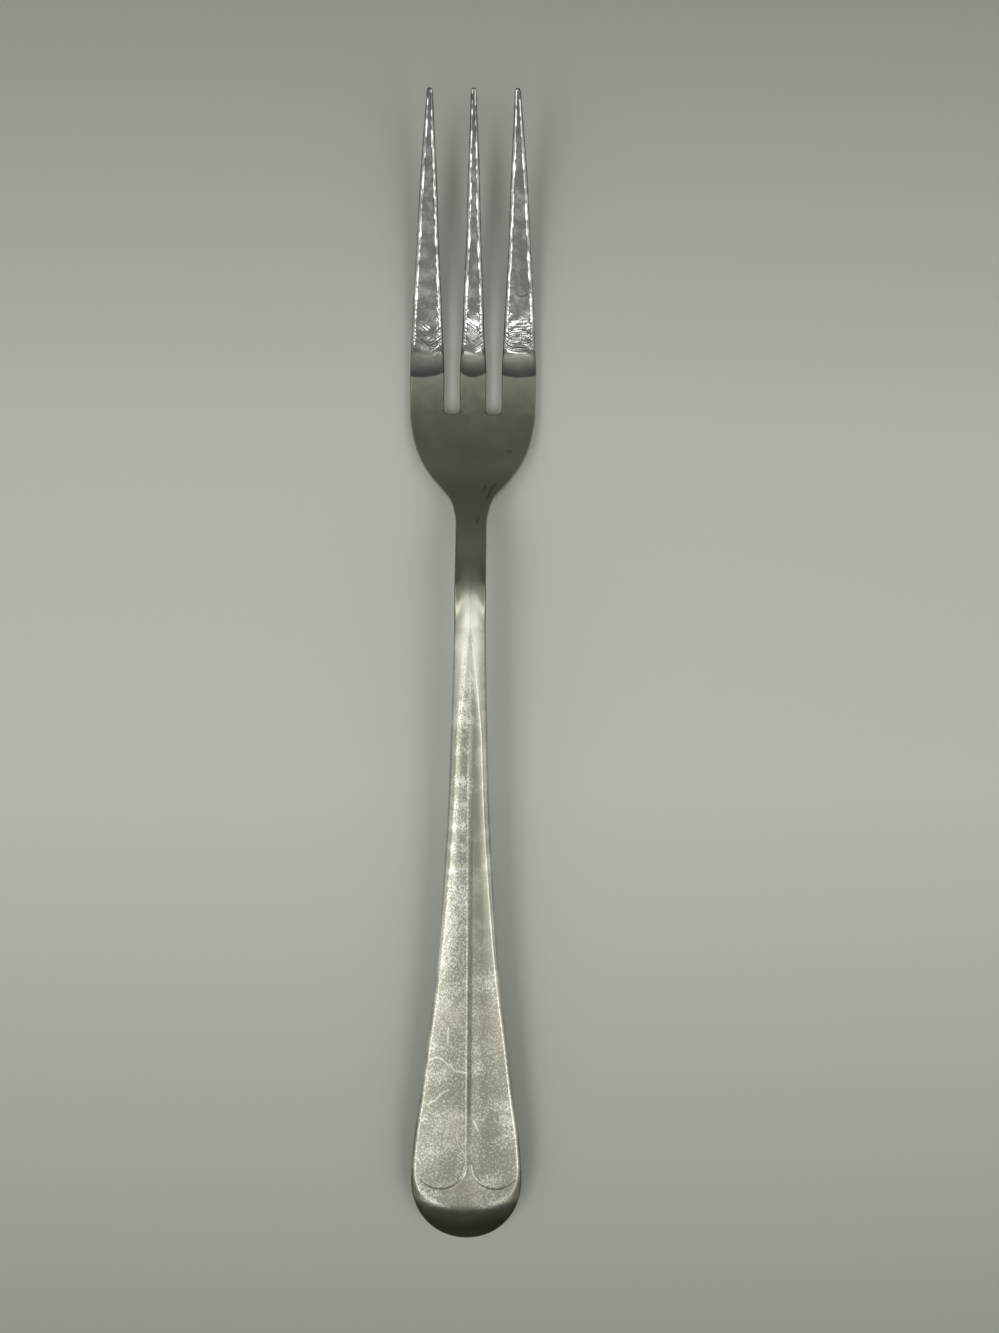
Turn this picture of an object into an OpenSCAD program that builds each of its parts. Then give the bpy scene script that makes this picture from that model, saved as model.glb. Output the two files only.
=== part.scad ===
// A dinner fork with three tines, lying face up on a table.
// The real one is a single stamping: the blank is graded thinner towards the tines, cut out,
// struck between dies for the panels of the handle and bent to its side profile.
// Each region that a cutler shapes and finishes by itself is a solid of its own here, and
// neighbours meet face to face on flat planes across the fork.
// X runs across the fork, +Y towards the tips and +Z up. Z = 0 is the table.

/* [Lengths] */
// Length of the tines, from the bottom of the slots to the tips
tine_len = 51.7; // [44:0.1:60]
// Length of the head, from the neck to the bottom of the slots
head_len = 19.8; // [16:0.1:26]
// Length of the neck, between the head and the panels of the handle
neck_len = 13; // [9:0.5:18]
// Length of the handle, from the neck to where its end turns down
handle_len = 103.5; // [90:0.5:120]
// Length of the turned-down end of the handle
end_len = 7; // [5.5:0.1:9]

/* [Outline] */
// Width across the head at the bottom of the slots
head_w = 21.8; // [20:0.1:26]
// Width of the neck
neck_w = 5.3; // [4.6:0.1:7]
// Width of the handle near its end, where it is widest
end_w = 19; // [15:0.1:23]
// Length over which the end of the handle is rounded in the outline
end_round_len = 11.5; // [10.5:0.1:14]

/* [Tines] */
// Width of each slot at its bottom
slot_w = 2.8; // [2.2:0.1:3.4]
// Radius of the corners at the bottom of a slot
slot_corner_r = 0.8; // [0.3:0.05:1]
// Width of the middle tine at its root
middle_tine_w = 4.45; // [3.6:0.05:5.4]
// Distance between the tips of the two outer tines, middle to middle
tip_spread = 14.5; // [12:0.1:17]
// Width of a tip before it is rounded off
tip_w = 1; // [0.7:0.05:1.4]
// Length over which a tip is rounded off
tip_round_len = 0.7; // [0.4:0.05:1.2]

/* [Side profile] */
// Height of the underside of the tips above the table
tip_rise = 14.2; // [8:0.1:22]
// Distance from the bottom of the slots forward to the heel, which rests on the table
heel_setback = 4; // [2:0.1:8]
// Height of the underside at the top of the arch, where the handle begins
arch_rise = 9.5; // [6:0.1:14]
// Height of the underside where the end of the handle turns down
turn_rise = 3.3; // [2:0.1:5]
// Depth worn off the underside where the fork rests on the table
wear_depth = 0.05; // [0.02:0.01:0.12]
// Length of the worn flat under the end of the handle
end_flat_len = 0.8; // [0.4:0.1:1.2]

/* [Thickness] */
// Thickness of a tine near its tip
tip_t = 1.3; // [1:0.05:1.8]
// Thickness of the tines at their roots and of the head
head_t = 2.2; // [1.8:0.05:2.8]
// Thickness of the neck, the stiffest part of the fork
neck_t = 3.3; // [2.8:0.05:4]
// Thickness at the end of the handle
end_t = 2.3; // [1.8:0.05:3]
// Depth of the dish in the top of the head
dish_depth = 0.35; // [0.1:0.05:0.6]

/* [Edges and panels] */
// Radius of the edges on the top of the tines, the head and the neck
top_edge_r = 0.5; // [0.3:0.05:0.7]
// Radius of the edges on the underside
under_edge_r = 0.3; // [0.15:0.05:0.4]
// Width of the bevel between a panel of the handle and the edge
bevel_w = 0.9; // [0.5:0.05:1.4]
// Height that the bevel falls towards the edge
bevel_fall = 0.5; // [0.2:0.05:0.8]
// Height of a panel's crown above its two sides
panel_crown = 0.12; // [0.02:0.01:0.3]
// Length over which the panels widen from their point on the arch
panel_taper_len = 25; // [15:0.5:35]
// Width of the groove between the two panels
groove_w = 0.8; // [0.4:0.05:1.2]
// Depth of the groove between the two panels
groove_depth = 0.2; // [0.05:0.01:0.35]
// Distance from the widest place of the handle forward to where the groove ends
split_setback = 2.8; // [1:0.1:5]

/* [Hidden] */

// Stations along the fork, from the end of the handle to the tips
fork_len = tine_len + head_len + neck_len + handle_len + end_len;
tip_y = fork_len / 2;
slot_y = tip_y - tine_len;
head_y = slot_y - head_len;
neck_y = head_y - neck_len;
turn_y = neck_y - handle_len;
end_y = turn_y - end_len;
heel_y = slot_y + heel_setback;
widest_y = end_y + end_round_len;
split_y = widest_y + split_setback;

// How finely the surfaces are divided
tine_rings = 26;
slot_corner_rings = 4;
tip_rings = 4;
head_rings = 15;
neck_rings = 7;
handle_rings = 38;
end_rings = 13;
edge_steps = 2;
dish_steps = 8;

// Place along the stretch, then share of the way from its narrow to its wide end
handle_outline_shares = [
    [0, 1], [0.05, 0.96], [0.14, 0.79], [0.23, 0.63], [0.32, 0.465],
    [0.4, 0.35], [0.5, 0.245], [0.65, 0.12], [0.8, 0.052], [1, 0]
];
head_outline_shares = [
    [0, 0], [0.13, 0.045], [0.22, 0.12], [0.313, 0.3],
    [0.495, 0.64], [0.68, 0.855], [0.864, 0.965], [1, 1]
];

// Place along the tine, then share of the way from the tip's width to the root's
middle_tine_shares = [
    [0, 1], [0.19, 0.99], [0.26, 0.84], [0.38, 0.72],
    [0.54, 0.5], [0.69, 0.36], [0.83, 0.22], [0.92, 0.08], [1, 0]
];
outer_tine_shares = [
    [0, 1], [0.19, 0.99], [0.26, 0.92], [0.38, 0.8],
    [0.54, 0.6], [0.69, 0.46], [0.83, 0.27], [0.92, 0.12], [1, 0]
];
// Place along an outer tine, then share of its way in from the root to the tip
tine_lean_shares = [[0, 0], [0.5, 0.05], [0.7, 0.32], [0.85, 0.6], [1, 1]];

// Place along the stretch, then share of the height that is climbed or left
handle_rise_shares = [[0, 0], [0.26, 0.3], [0.51, 0.58], [0.81, 0.893], [0.91, 0.972], [1, 1]];
head_fall_shares = [
    [0, 1], [0.15, 0.946], [0.297, 0.792], [0.419, 0.6],
    [0.541, 0.397], [0.712, 0.166], [0.883, 0.03], [1, 0]
];
tine_rise_shares = [
    [0, 0], [0.214, 0.05], [0.36, 0.139], [0.5, 0.262],
    [0.623, 0.396], [0.738, 0.549], [0.864, 0.746], [1, 1]
];
// Share of the handle's length at which the arch has its top
arch_share = 0.96;
// Exponent of the curve by which the end of the handle turns down
turn_power = 1.7;

// Step for reading the slope of the side profile
probe = 0.05;

function blend(a, b, share) = a + (b - a) * share;
function place(y, from_y, to_y) = min(1, max(0, (y - from_y) / (to_y - from_y)));

// Smooth curve through a table of places and values
function gap_slope(k, i) = (k[i + 1][1] - k[i][1]) / (k[i + 1][0] - k[i][0]);
function knot_slope(k, i) =
    i == 0 ? gap_slope(k, 0)
    : i == len(k) - 1 ? gap_slope(k, i - 1)
    : let (a = k[i][0] - k[i - 1][0], b = k[i + 1][0] - k[i][0])
        (b * gap_slope(k, i - 1) + a * gap_slope(k, i)) / (a + b);
function curve_between(k, i, s) =
    let (
        d = k[i + 1][0] - k[i][0],
        u = (s - k[i][0]) / d,
        a = k[i][1],
        b = k[i + 1][1],
        sa = knot_slope(k, i) * d,
        sb = knot_slope(k, i + 1) * d
    )
    a + u * sa + u * u * (3 * (b - a) - 2 * sa - sb) + u * u * u * (2 * (a - b) + sa + sb);
function curve(k, s, i = 0) =
    i >= len(k) - 2 || s <= k[i + 1][0] ? curve_between(k, i, s) : curve(k, s, i + 1);

// Height of the underside along the middle of the fork
arch_y = blend(turn_y, neck_y, arch_share);
function turned_rise(y) =
    turn_rise - (turn_rise + wear_depth) * pow(place(y, turn_y, end_y + end_flat_len), turn_power);
function handle_rise(y) = blend(turn_rise, arch_rise, curve(handle_rise_shares, place(y, turn_y, arch_y)));
function head_rise(y) = blend(-wear_depth, arch_rise, curve(head_fall_shares, place(y, arch_y, heel_y)));
function tine_rise(y) = blend(-wear_depth, tip_rise, curve(tine_rise_shares, place(y, heel_y, tip_y)));
function underside(y) =
    y < turn_y ? turned_rise(y)
    : y < arch_y ? handle_rise(y)
    : y < heel_y ? head_rise(y)
    : tine_rise(y);
function slope(y) =
    let (c = min(tip_y - probe, max(end_y + end_flat_len + probe, y)))
    (underside(c + probe) - underside(c - probe)) / (2 * probe);

// Thickness square to the metal, and the height that it takes on a slope
thickness_table = [
    [end_y, end_t], [turn_y, end_t], [(turn_y + neck_y) / 2, (end_t + neck_t) / 2],
    [neck_y, neck_t], [(neck_y + head_y) / 2, neck_t], [(head_y + slot_y) / 2, head_t],
    [heel_y, head_t], [(heel_y + tip_y) / 2, (head_t + tip_t) / 2], [tip_y, tip_t]
];
function tall(y) = curve(thickness_table, y) * sqrt(1 + slope(y) * slope(y));

// Half the width of the blank
function round_half_w(y) = end_w / 2 * sqrt(max(0, 1 - pow(place(y, widest_y, end_y), 2)));
function handle_half_w(y) =
    blend(neck_w, end_w, curve(handle_outline_shares, place(y, widest_y, neck_y))) / 2;
function head_half_w(y) =
    blend(neck_w, head_w, curve(head_outline_shares, place(y, head_y, slot_y))) / 2;
function half_w(y) =
    y < widest_y ? round_half_w(y)
    : y < neck_y ? handle_half_w(y)
    : head_half_w(y);

// Nothing reaches under the table: what would is worn flat
function at(x, y, z) = [x, y, max(z, 0)];

// Edge of a section, rounded by radius r about [cx, cz] from angle a to angle b
function edge(cx, cz, r, a, b, y) = [
    for (i = [0:edge_steps])
        let (t = blend(a, b, i / edge_steps))
        at(cx + r * cos(t), y, cz + r * sin(t))
];
function mirrored(points) = [
    for (i = [len(points) - 1:-1:0])
        [-points[i].x, points[i].y, points[i].z]
];

// Solid through a row of rings with equally many points, each ring in a plane across the fork
module loft(rings) {
    n = len(rings[0]);
    last = len(rings) - 1;
    polyhedron(
        points = [for (r = rings, p = r) p],
        faces = concat(
            [[for (i = [0:n - 1]) n - 1 - i]],
            [for (k = [0:last - 1], i = [0:n - 1])
                [k * n + i, k * n + (i + 1) % n, (k + 1) * n + i]],
            [for (k = [0:last - 1], i = [0:n - 1])
                [k * n + (i + 1) % n, (k + 1) * n + (i + 1) % n, (k + 1) * n + i]],
            [[for (i = [0:n - 1]) last * n + i]]
        )
    );
}

// A rounded tip ends in a flat of this share of its size
tip_flat_share = 0.3;
// Most of a tine's half width that the edge on its top may take
tine_edge_share = 0.8;
// Most of a slot's width that one of its corners may take
slot_corner_share = 0.4;
slot_r = min(slot_corner_r, slot_w * slot_corner_share);
outer_tine_w = (head_w - middle_tine_w) / 2 - slot_w;
root_spread = head_w - outer_tine_w;
tine_stations = concat(
    [for (i = [0:slot_corner_rings]) slot_y + slot_r * (1 - cos(90 * i / slot_corner_rings))],
    [for (i = [1:tine_rings]) blend(slot_y + slot_r, tip_y - tip_round_len, i / tine_rings)],
    [for (i = [1:tip_rings]) tip_y - tip_round_len * (1 - sin(90 * i / tip_rings))]
);
function tine_share(y) = place(y, slot_y, tip_y);

// How far a tine's side reaches into the rounded corner at the bottom of its slot
function corner_fill(y) =
    let (left = max(0, slot_y + slot_r - y))
    slot_r - sqrt(max(0, slot_r * slot_r - left * left));

// Section of a tine: a rectangle with rounded edges, which shrinks at the rounded tip
function tine_ring(y, x_from, x_to) =
    let (
        low = underside(y),
        round_share = place(y, tip_y - tip_round_len, tip_y),
        size_share = max(tip_flat_share, sqrt(1 - round_share * round_share)),
        cx = (x_from + x_to) / 2,
        cz = low + tall(y) / 2,
        hx = (x_to - x_from) / 2 * size_share,
        hz = tall(y) / 2 * size_share,
        r_low = min(under_edge_r, hx, hz),
        r_top = min(top_edge_r, hx * tine_edge_share, hz)
    )
    concat(
        edge(cx + hx - r_low, cz - hz + r_low, r_low, -90, 0, y),
        edge(cx + hx - r_top, cz + hz - r_top, r_top, 0, 90, y),
        edge(cx - hx + r_top, cz + hz - r_top, r_top, 90, 180, y),
        edge(cx - hx + r_low, cz - hz + r_low, r_low, 180, 270, y)
    );
module outer_tine(side) {
    loft([
        for (y = tine_stations)
            let (
                mid = blend(root_spread, tip_spread, curve(tine_lean_shares, tine_share(y))) / 2,
                w = blend(tip_w, outer_tine_w, curve(outer_tine_shares, tine_share(y))),
                inner = mid - w / 2 - corner_fill(y),
                outer = mid + w / 2
            )
            side > 0 ? tine_ring(y, inner, outer) : tine_ring(y, -outer, -inner)
    ]);
}
module tine_left() {
    color("#8f8f8a") outer_tine(-1);
}
module tine_right() {
    color("#8f8f8a") outer_tine(1);
}
module tine_middle() {
    color("#8f8f8a") loft([
        for (y = tine_stations)
            let (
                w = blend(tip_w, middle_tine_w, curve(middle_tine_shares, tine_share(y))),
                side = w / 2 + corner_fill(y)
            )
            tine_ring(y, -side, side)
    ]);
}

// Head: dished on top, and flat where it meets the tines and the neck
function dish(x, y) =
    dish_depth * sin(180 * place(y, head_y, slot_y)) * (1 - pow(x / half_w(y), 2));
function head_ring(y) =
    let (
        low = underside(y),
        high = low + tall(y),
        w = half_w(y),
        side = concat(
            edge(w - under_edge_r, low + under_edge_r, under_edge_r, -90, 0, y),
            edge(w - top_edge_r, high - top_edge_r, top_edge_r, 0, 90, y)
        )
    )
    concat(
        side,
        [
            for (i = [1:dish_steps - 1])
                let (x = (w - top_edge_r) * cos(180 * i / dish_steps))
                at(x, y, high - dish(x, y))
        ],
        mirrored(side)
    );
module head() {
    color("#6f7066") loft([for (i = [0:head_rings]) head_ring(blend(head_y, slot_y, i / head_rings))]);
}

// Neck and handle: two panels side by side, a groove between them and a bevel along each edge.
// The panels begin at a point on the arch and widen until the bevels stop them.
// Forward of that point the neck's top opens out flat towards the head.
neck_open_share = 0.5;
neck_open_y = blend(neck_y, head_y, neck_open_share);
panel_full_y = neck_y - panel_taper_len;
// The bevel is bent in the middle: places of the bend across and down the bevel
bevel_bend_share = 0.55;
bevel_bend_fall_share = 0.3;
// Fall of the domed sides for each unit of width that they have more than a bevel
dome_share = 0.3;
// Half widths that the ridges and the end of the handle narrow down to
least_ridge_half_w = 0.15;
blunt_half_w = 0.6;
// Length over which the groove runs out behind the panels' round ends
groove_end_len = 1.5;

function bar_half_w(y) = max(blunt_half_w, half_w(y));
function open_share(y) = place(y, neck_y, neck_open_y);
function ridge_half_w(y) =
    y > neck_y
    ? blend(least_ridge_half_w, neck_w / 2 - top_edge_r, open_share(y))
    : y > panel_full_y
    ? max(least_ridge_half_w, (half_w(panel_full_y) - bevel_w) * place(y, neck_y, panel_full_y))
    : max(least_ridge_half_w, bar_half_w(y) - bevel_w);
function domed_fall(y) =
    bevel_fall + dome_share * max(0, bar_half_w(y) - ridge_half_w(y) - bevel_w);
function side_fall(y) = blend(domed_fall(y), top_edge_r, open_share(y));
function groove_share(y) =
    place(y, neck_y, panel_full_y) * place(y, split_y - groove_end_len, split_y);
function crown_share(y) = place(ridge_half_w(y), 0, 2 * bevel_w) * place(y, end_y, turn_y);

function bar_side(y) =
    let (
        low = underside(y),
        high = low + tall(y) - bevel_fall * (1 - place(y, end_y, end_y + bevel_w)),
        w = bar_half_w(y),
        ridge = ridge_half_w(y),
        rim = min(groove_w / 2, ridge / 2),
        fall = min(side_fall(y), high - low - 2 * under_edge_r)
    )
    concat(
        edge(w - under_edge_r, low + under_edge_r, under_edge_r, -90, 0, y),
        [
            at(w, y, high - fall),
            at(blend(ridge, w, bevel_bend_share), y, high - fall * bevel_bend_fall_share),
            at(ridge, y, high),
            at((ridge + rim) / 2, y, high + panel_crown * crown_share(y)),
            at(rim, y, high)
        ]
    );
function bar_ring(y) =
    let (side = bar_side(y), rim = side[len(side) - 1])
    concat(side, [at(0, y, rim.z - groove_depth * groove_share(y))], mirrored(side));

module neck() {
    color("#84867c") loft([for (i = [0:neck_rings]) bar_ring(blend(neck_y, head_y, i / neck_rings))]);
}
module handle() {
    color("#a3a294") loft([
        for (i = [0:handle_rings])
            bar_ring(blend(turn_y, neck_y, i / handle_rings))
    ]);
}
// The end's rings crowd together towards the very end, where the outline turns fastest
turn_angle = asin(place(turn_y, widest_y, end_y));
module handle_end() {
    color("#7d7c6e") loft([
        for (i = [end_rings:-1:0])
            bar_ring(blend(widest_y, end_y, sin(blend(turn_angle, 90, i / end_rings))))
    ]);
}

tine_left();
tine_middle();
tine_right();
head();
neck();
handle();
handle_end();
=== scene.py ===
# %% [markdown]
# A dinner fork with three tines, lying face up on pale paper.
# The real fork is one stamping: a flat blank is cut out, graded thinner towards the tines, struck
# between dies and bent. The imported model has it as seven regions that meet face to face, so each
# region gets a finished skin here that lies where the region lies. Bevelling the packed
# mesh would be quicker, but it is too coarse for the struck panels and the marks of wear.
# This first cell loads the imported model.

# %% Load the frame
import math
import bpy
import numpy as np
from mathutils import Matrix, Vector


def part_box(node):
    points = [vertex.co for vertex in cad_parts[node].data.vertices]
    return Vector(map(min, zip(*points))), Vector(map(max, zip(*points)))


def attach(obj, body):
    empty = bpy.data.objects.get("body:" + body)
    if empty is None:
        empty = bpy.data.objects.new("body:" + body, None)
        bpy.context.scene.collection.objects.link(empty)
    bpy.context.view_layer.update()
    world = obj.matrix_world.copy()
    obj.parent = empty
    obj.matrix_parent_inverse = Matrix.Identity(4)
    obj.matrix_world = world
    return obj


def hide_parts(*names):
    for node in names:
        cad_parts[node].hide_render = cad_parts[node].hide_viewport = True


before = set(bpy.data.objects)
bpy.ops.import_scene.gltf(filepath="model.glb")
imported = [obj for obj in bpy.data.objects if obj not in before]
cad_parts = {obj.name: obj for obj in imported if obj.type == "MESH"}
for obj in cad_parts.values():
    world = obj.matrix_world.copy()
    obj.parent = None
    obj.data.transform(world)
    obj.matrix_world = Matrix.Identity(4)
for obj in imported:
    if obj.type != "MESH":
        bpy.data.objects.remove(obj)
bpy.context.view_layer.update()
MM = 0.001
print("regions:", sorted(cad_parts))

# %% [markdown]
# Every place along the fork comes from the regions' own boxes. All sizes below are in millimetres,
# and only the very last step of a skin turns them into metres.

# %% Stations along the fork
def side(node, corner, axis):
    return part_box(node)[corner][axis] / MM


TIP_Y = side("tine_middle", 1, 1)
SLOT_Y = side("tine_middle", 0, 1)
HEAD_Y = side("head", 0, 1)
NECK_Y = side("neck", 0, 1)
TURN_Y = side("handle", 0, 1)
END_Y = side("handle_end", 0, 1)
HEAD_W = side("head", 1, 0) - side("head", 0, 0)
HEEL_AHEAD, END_ROUND, ARCH_SHARE = 4, 11.5, 0.96
HEEL_Y = SLOT_Y + HEEL_AHEAD
WIDEST_Y = END_Y + END_ROUND
ARCH_Y = TURN_Y + ARCH_SHARE * (NECK_Y - TURN_Y)
print(f"tips {TIP_Y:.1f}, slots {SLOT_Y:.1f}, neck {NECK_Y:.1f} to {HEAD_Y:.1f}, end {END_Y:.1f} mm")

# %% [markdown]
# The outline and the side profile could be straight steps between points, but polished metal
# shows every kink of a curve as a broken highlight. So both are cubic splines, whose bend never
# jumps, through a few chosen points.

# %% A smooth curve through points
def spline(points, start=None, stop=None):
    """Cubic spline through (place, value) points. start and stop are its slopes at the ends, or None."""
    x, v = np.array(points, float).T
    gap = np.diff(x)
    rise = np.diff(v) / gap
    a, b = np.zeros((len(x), len(x))), np.zeros(len(x))
    for i in range(1, len(x) - 1):
        a[i, i - 1:i + 2] = gap[i], 2 * (gap[i - 1] + gap[i]), gap[i - 1]
        b[i] = 3 * (gap[i] * rise[i - 1] + gap[i - 1] * rise[i])
    a[0, :2], b[0] = ((2, 1), 3 * rise[0]) if start is None else ((1, 0), start)
    a[-1, -2:], b[-1] = ((1, 2), 3 * rise[-1]) if stop is None else ((0, 1), stop)
    m = np.linalg.solve(a, b)

    def at(s):
        s = np.clip(s, x[0], x[-1])
        i = np.clip(np.searchsorted(x, s) - 1, 0, len(gap) - 1)
        u = (s - x[i]) / gap[i]
        fall = gap[i] * (u * (1 - u) ** 2 * m[i] - u * u * (1 - u) * m[i + 1])
        return v[i] + (v[i + 1] - v[i]) * u * u * (3 - 2 * u) + fall

    return at


def place(y, a, b):
    """Share of the way from a to b, held between 0 and 1."""
    return np.clip((y - a) / (b - a), 0, 1)


def ease(y, a, b):
    """The same, but it starts and stops gently."""
    t = place(y, a, b)
    return t * t * (3 - 2 * t)


def blend(a, b, share):
    return a + (b - a) * share


def bell(y, middle, reach):
    """1 at the middle, fading to 0 on both sides of it."""
    return np.exp(-((y - middle) / reach) ** 2)


print("halfway and a quarter of the way up a gentle step:", ease(0.5, 0, 1), ease(0.25, 0, 1))

# %% [markdown]
# The side profile: the fork rests on the heel under the head and on the end of the handle, and
# arches up between them. The tips rise in one long sweep. The metal is thickest in the neck,
# which takes the load, and thinnest at the tips. A flat bar could be bent by hand to this shape,
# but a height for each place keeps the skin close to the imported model.

# %% Side profile and thickness
ARCH_Z, TURN_Z, TIP_Z, WORN = 9.5, 3.3, 14.2, -0.05
HANDLE_RISE = [(0, 0), (0.26, 0.3), (0.51, 0.58), (0.81, 0.893), (0.91, 0.972)]
HEAD_FALL = [
    (0, 1), (0.15, 0.946), (0.297, 0.792), (0.419, 0.6), (0.541, 0.397), (0.712, 0.166), (0.883, 0.03)]
TINE_RISE = [
    (0, 0), (0.214, 0.05), (0.36, 0.139), (0.5, 0.262), (0.623, 0.396), (0.738, 0.549), (0.864, 0.746),
    (1, 1)]
END_T, MIDDLE_T, NECK_T, HEAD_T, TINE_T, TIP_T = 2.3, 2.8, 3.3, 2.2, 1.75, 1.3
PROBE, END_FLAT, TURN_POWER = 0.05, 0.8, 1.7


def stretch(shares, y0, y1, z0, z1):
    """Turns shares of a run and of a rise into places and heights."""
    return [(blend(y0, y1, s), blend(z0, z1, v)) for s, v in shares]


def halfway(y0, y1):
    return (y0 + y1) / 2


profile = spline(
    stretch(HANDLE_RISE, TURN_Y, ARCH_Y, TURN_Z, ARCH_Z)
    + stretch(HEAD_FALL, ARCH_Y, HEEL_Y, WORN, ARCH_Z)
    + stretch(TINE_RISE, HEEL_Y, TIP_Y, WORN, TIP_Z)
)
thickness = spline([
    (END_Y, END_T), (TURN_Y, END_T), (halfway(TURN_Y, NECK_Y), MIDDLE_T), (NECK_Y, NECK_T),
    (halfway(NECK_Y, HEAD_Y), NECK_T), (halfway(HEAD_Y, SLOT_Y), HEAD_T), (HEEL_Y, HEAD_T),
    (halfway(HEEL_Y, TIP_Y), TINE_T), (TIP_Y, TIP_T),
], 0, None)


def slope(y):
    y = np.clip(y, TURN_Y + PROBE, TIP_Y - PROBE)
    return (profile(y + PROBE) - profile(y - PROBE)) / (2 * PROBE)


def underside(y):
    """Height of the flat underside. Beyond the handle it turns down to the worn flat that rests."""
    turned = TURN_Z - (TURN_Z - WORN) * place(y, TURN_Y, END_Y + END_FLAT) ** TURN_POWER
    return np.where(y < TURN_Y, turned, profile(y))


def deck(y):
    """Height of the flat top before it is struck, running straight on over the turned-down end."""
    beyond = np.minimum(0, y - TURN_Y) * slope(TURN_Y)
    return profile(y) + beyond + thickness(y) * np.sqrt(1 + slope(y) ** 2)


print(f"top of the arch {deck(ARCH_Y):.2f}, of the head {deck(SLOT_Y):.2f}, of the tips {deck(TIP_Y):.2f} mm")

# %% [markdown]
# The outline, seen from above: the handle is widest near its round end, tapers to the slim neck
# and opens into the head in an S-curve. The tines taper to 1 mm, and the outer two lean in. Each
# width is a share of its stretch, so a point can be moved without redrawing the rest.

# %% Outline
NECK_W, END_W, SLOT_W = 5.3, 19, 2.8
SLOT_R = 0.8
MID_ROOT_W, TIP_W, TIP_SPREAD, TIP_ROUND = 4.45, 1, 14.5, 0.7
OUT_ROOT_W = (HEAD_W - MID_ROOT_W) / 2 - SLOT_W
BLUNT = 0.25
handle_widening = spline([
    (0, 1), (0.05, 0.96), (0.14, 0.79), (0.23, 0.63), (0.32, 0.465),
    (0.4, 0.35), (0.5, 0.245), (0.65, 0.12), (0.8, 0.052), (1, 0)], None, 0)
head_widening = spline([
    (0, 0), (0.13, 0.045), (0.22, 0.12), (0.313, 0.3),
    (0.495, 0.64), (0.68, 0.855), (0.864, 0.965), (1, 1)], 0, 0)
mid_widening = spline([
    (0, 1), (0.19, 0.99), (0.26, 0.84), (0.38, 0.72),
    (0.54, 0.5), (0.69, 0.36), (0.83, 0.22), (0.92, 0.08), (1, 0)])
outer_widening = spline([
    (0, 1), (0.19, 0.99), (0.26, 0.92), (0.38, 0.8),
    (0.54, 0.6), (0.69, 0.46), (0.83, 0.27), (0.92, 0.12), (1, 0)])
leaning = spline([(0, 0), (0.5, 0.05), (0.7, 0.32), (0.85, 0.6), (1, 1)], 0, None)


def half_width(y):
    """Half the width of the handle, neck and head."""
    round_end = END_W / 2 * np.sqrt(np.maximum(0, 1 - place(y, WIDEST_Y, END_Y) ** 2))
    handle = NECK_W / 2 + (END_W - NECK_W) / 2 * handle_widening(place(y, WIDEST_Y, NECK_Y))
    head = NECK_W / 2 + (HEAD_W - NECK_W) / 2 * head_widening(place(y, HEAD_Y, SLOT_Y))
    return np.maximum(BLUNT, np.where(y < WIDEST_Y, round_end, np.where(y < NECK_Y, handle, head)))


def middle_tine(y):
    """Middle line and half width of the middle tine."""
    s = place(y, SLOT_Y, TIP_Y)
    return 0 * s, (TIP_W + (MID_ROOT_W - TIP_W) * mid_widening(s)) / 2


def right_tine(y):
    """Middle line and half width of the right tine. The left one is its mirror image."""
    s = place(y, SLOT_Y, TIP_Y)
    spread = (HEAD_W - OUT_ROOT_W) + (TIP_SPREAD - HEAD_W + OUT_ROOT_W) * leaning(s)
    return spread / 2, (TIP_W + (OUT_ROOT_W - TIP_W) * outer_widening(s)) / 2


print(f"outer tine {2 * right_tine(SLOT_Y)[1]:.2f} mm wide at its root")

# %% [markdown]
# All edges are broken: a narrow chamfer, then a small round. A Bevel modifier would stop at the
# seams between the skins. Here, how far a point lies inside the outline says how much it drops, so
# one rule serves the sides, the slots and their corners, and runs on over the seams.

# %% Distance from the outline, and what the edge takes off
CHAMFER_SLOPE, CHAMFER_W, CREASE = 0.38, 0.62, 0.15
SLIGHT_SHARE, CHAMFER_SHARE = 0.35, 0.55
EDGE_R, UNDER_R, SLOT_REACH = 0.28, 0.45, 6
FACET_Y = 56.8


def soft_ramp(u, soft):
    """0 below 0 and u above it, with the corner rounded from -soft to soft."""
    return np.where(np.abs(u) < soft, (u + soft) ** 2 / (4 * soft), np.maximum(0, u))


def chamfer_width(y):
    """The chamfer is broad on the polished tines and slight on the satin head."""
    return CHAMFER_W * blend(SLIGHT_SHARE, 1, ease(y, FACET_Y - 1.5, FACET_Y + 1))


def narrow_chamfer(y, half):
    """The same, but near the tip it gives way to the tine's own width."""
    return np.minimum(chamfer_width(y), CHAMFER_SHARE * half)


def round_drop(inside, radius):
    """What a rounded edge takes off at a distance inside the outline."""
    left = np.clip(radius - inside, 0, radius)
    return radius - np.sqrt(np.maximum(0, radius * radius - left * left))


def from_slots(x, y):
    """Distance from the nearer slot, which has a flat bottom with round corners."""
    y_in = np.maximum(y, SLOT_Y)
    edge_in = middle_tine(y_in)[1]
    mid, half = right_tine(y_in)
    centre, reach = (edge_in + mid - half) / 2, (mid - half - edge_in) / 2
    across = np.abs(np.abs(x) - centre) - (reach - SLOT_R)
    along = SLOT_Y + SLOT_R - y
    outside = np.hypot(np.maximum(across, 0), np.maximum(along, 0))
    return outside + np.minimum(np.maximum(across, along), 0) - SLOT_R


def from_side(x, y):
    """Distance from the outer outline."""
    mid, half = right_tine(y)
    reach = np.where(y > SLOT_Y, mid + half, half_width(y))
    lean = np.gradient(reach, axis=0) / np.gradient(y, axis=0) if np.ndim(y) > 1 else 0
    return (reach - np.abs(x)) / np.sqrt(1 + np.clip(lean, -2, 2) ** 2)


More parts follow.
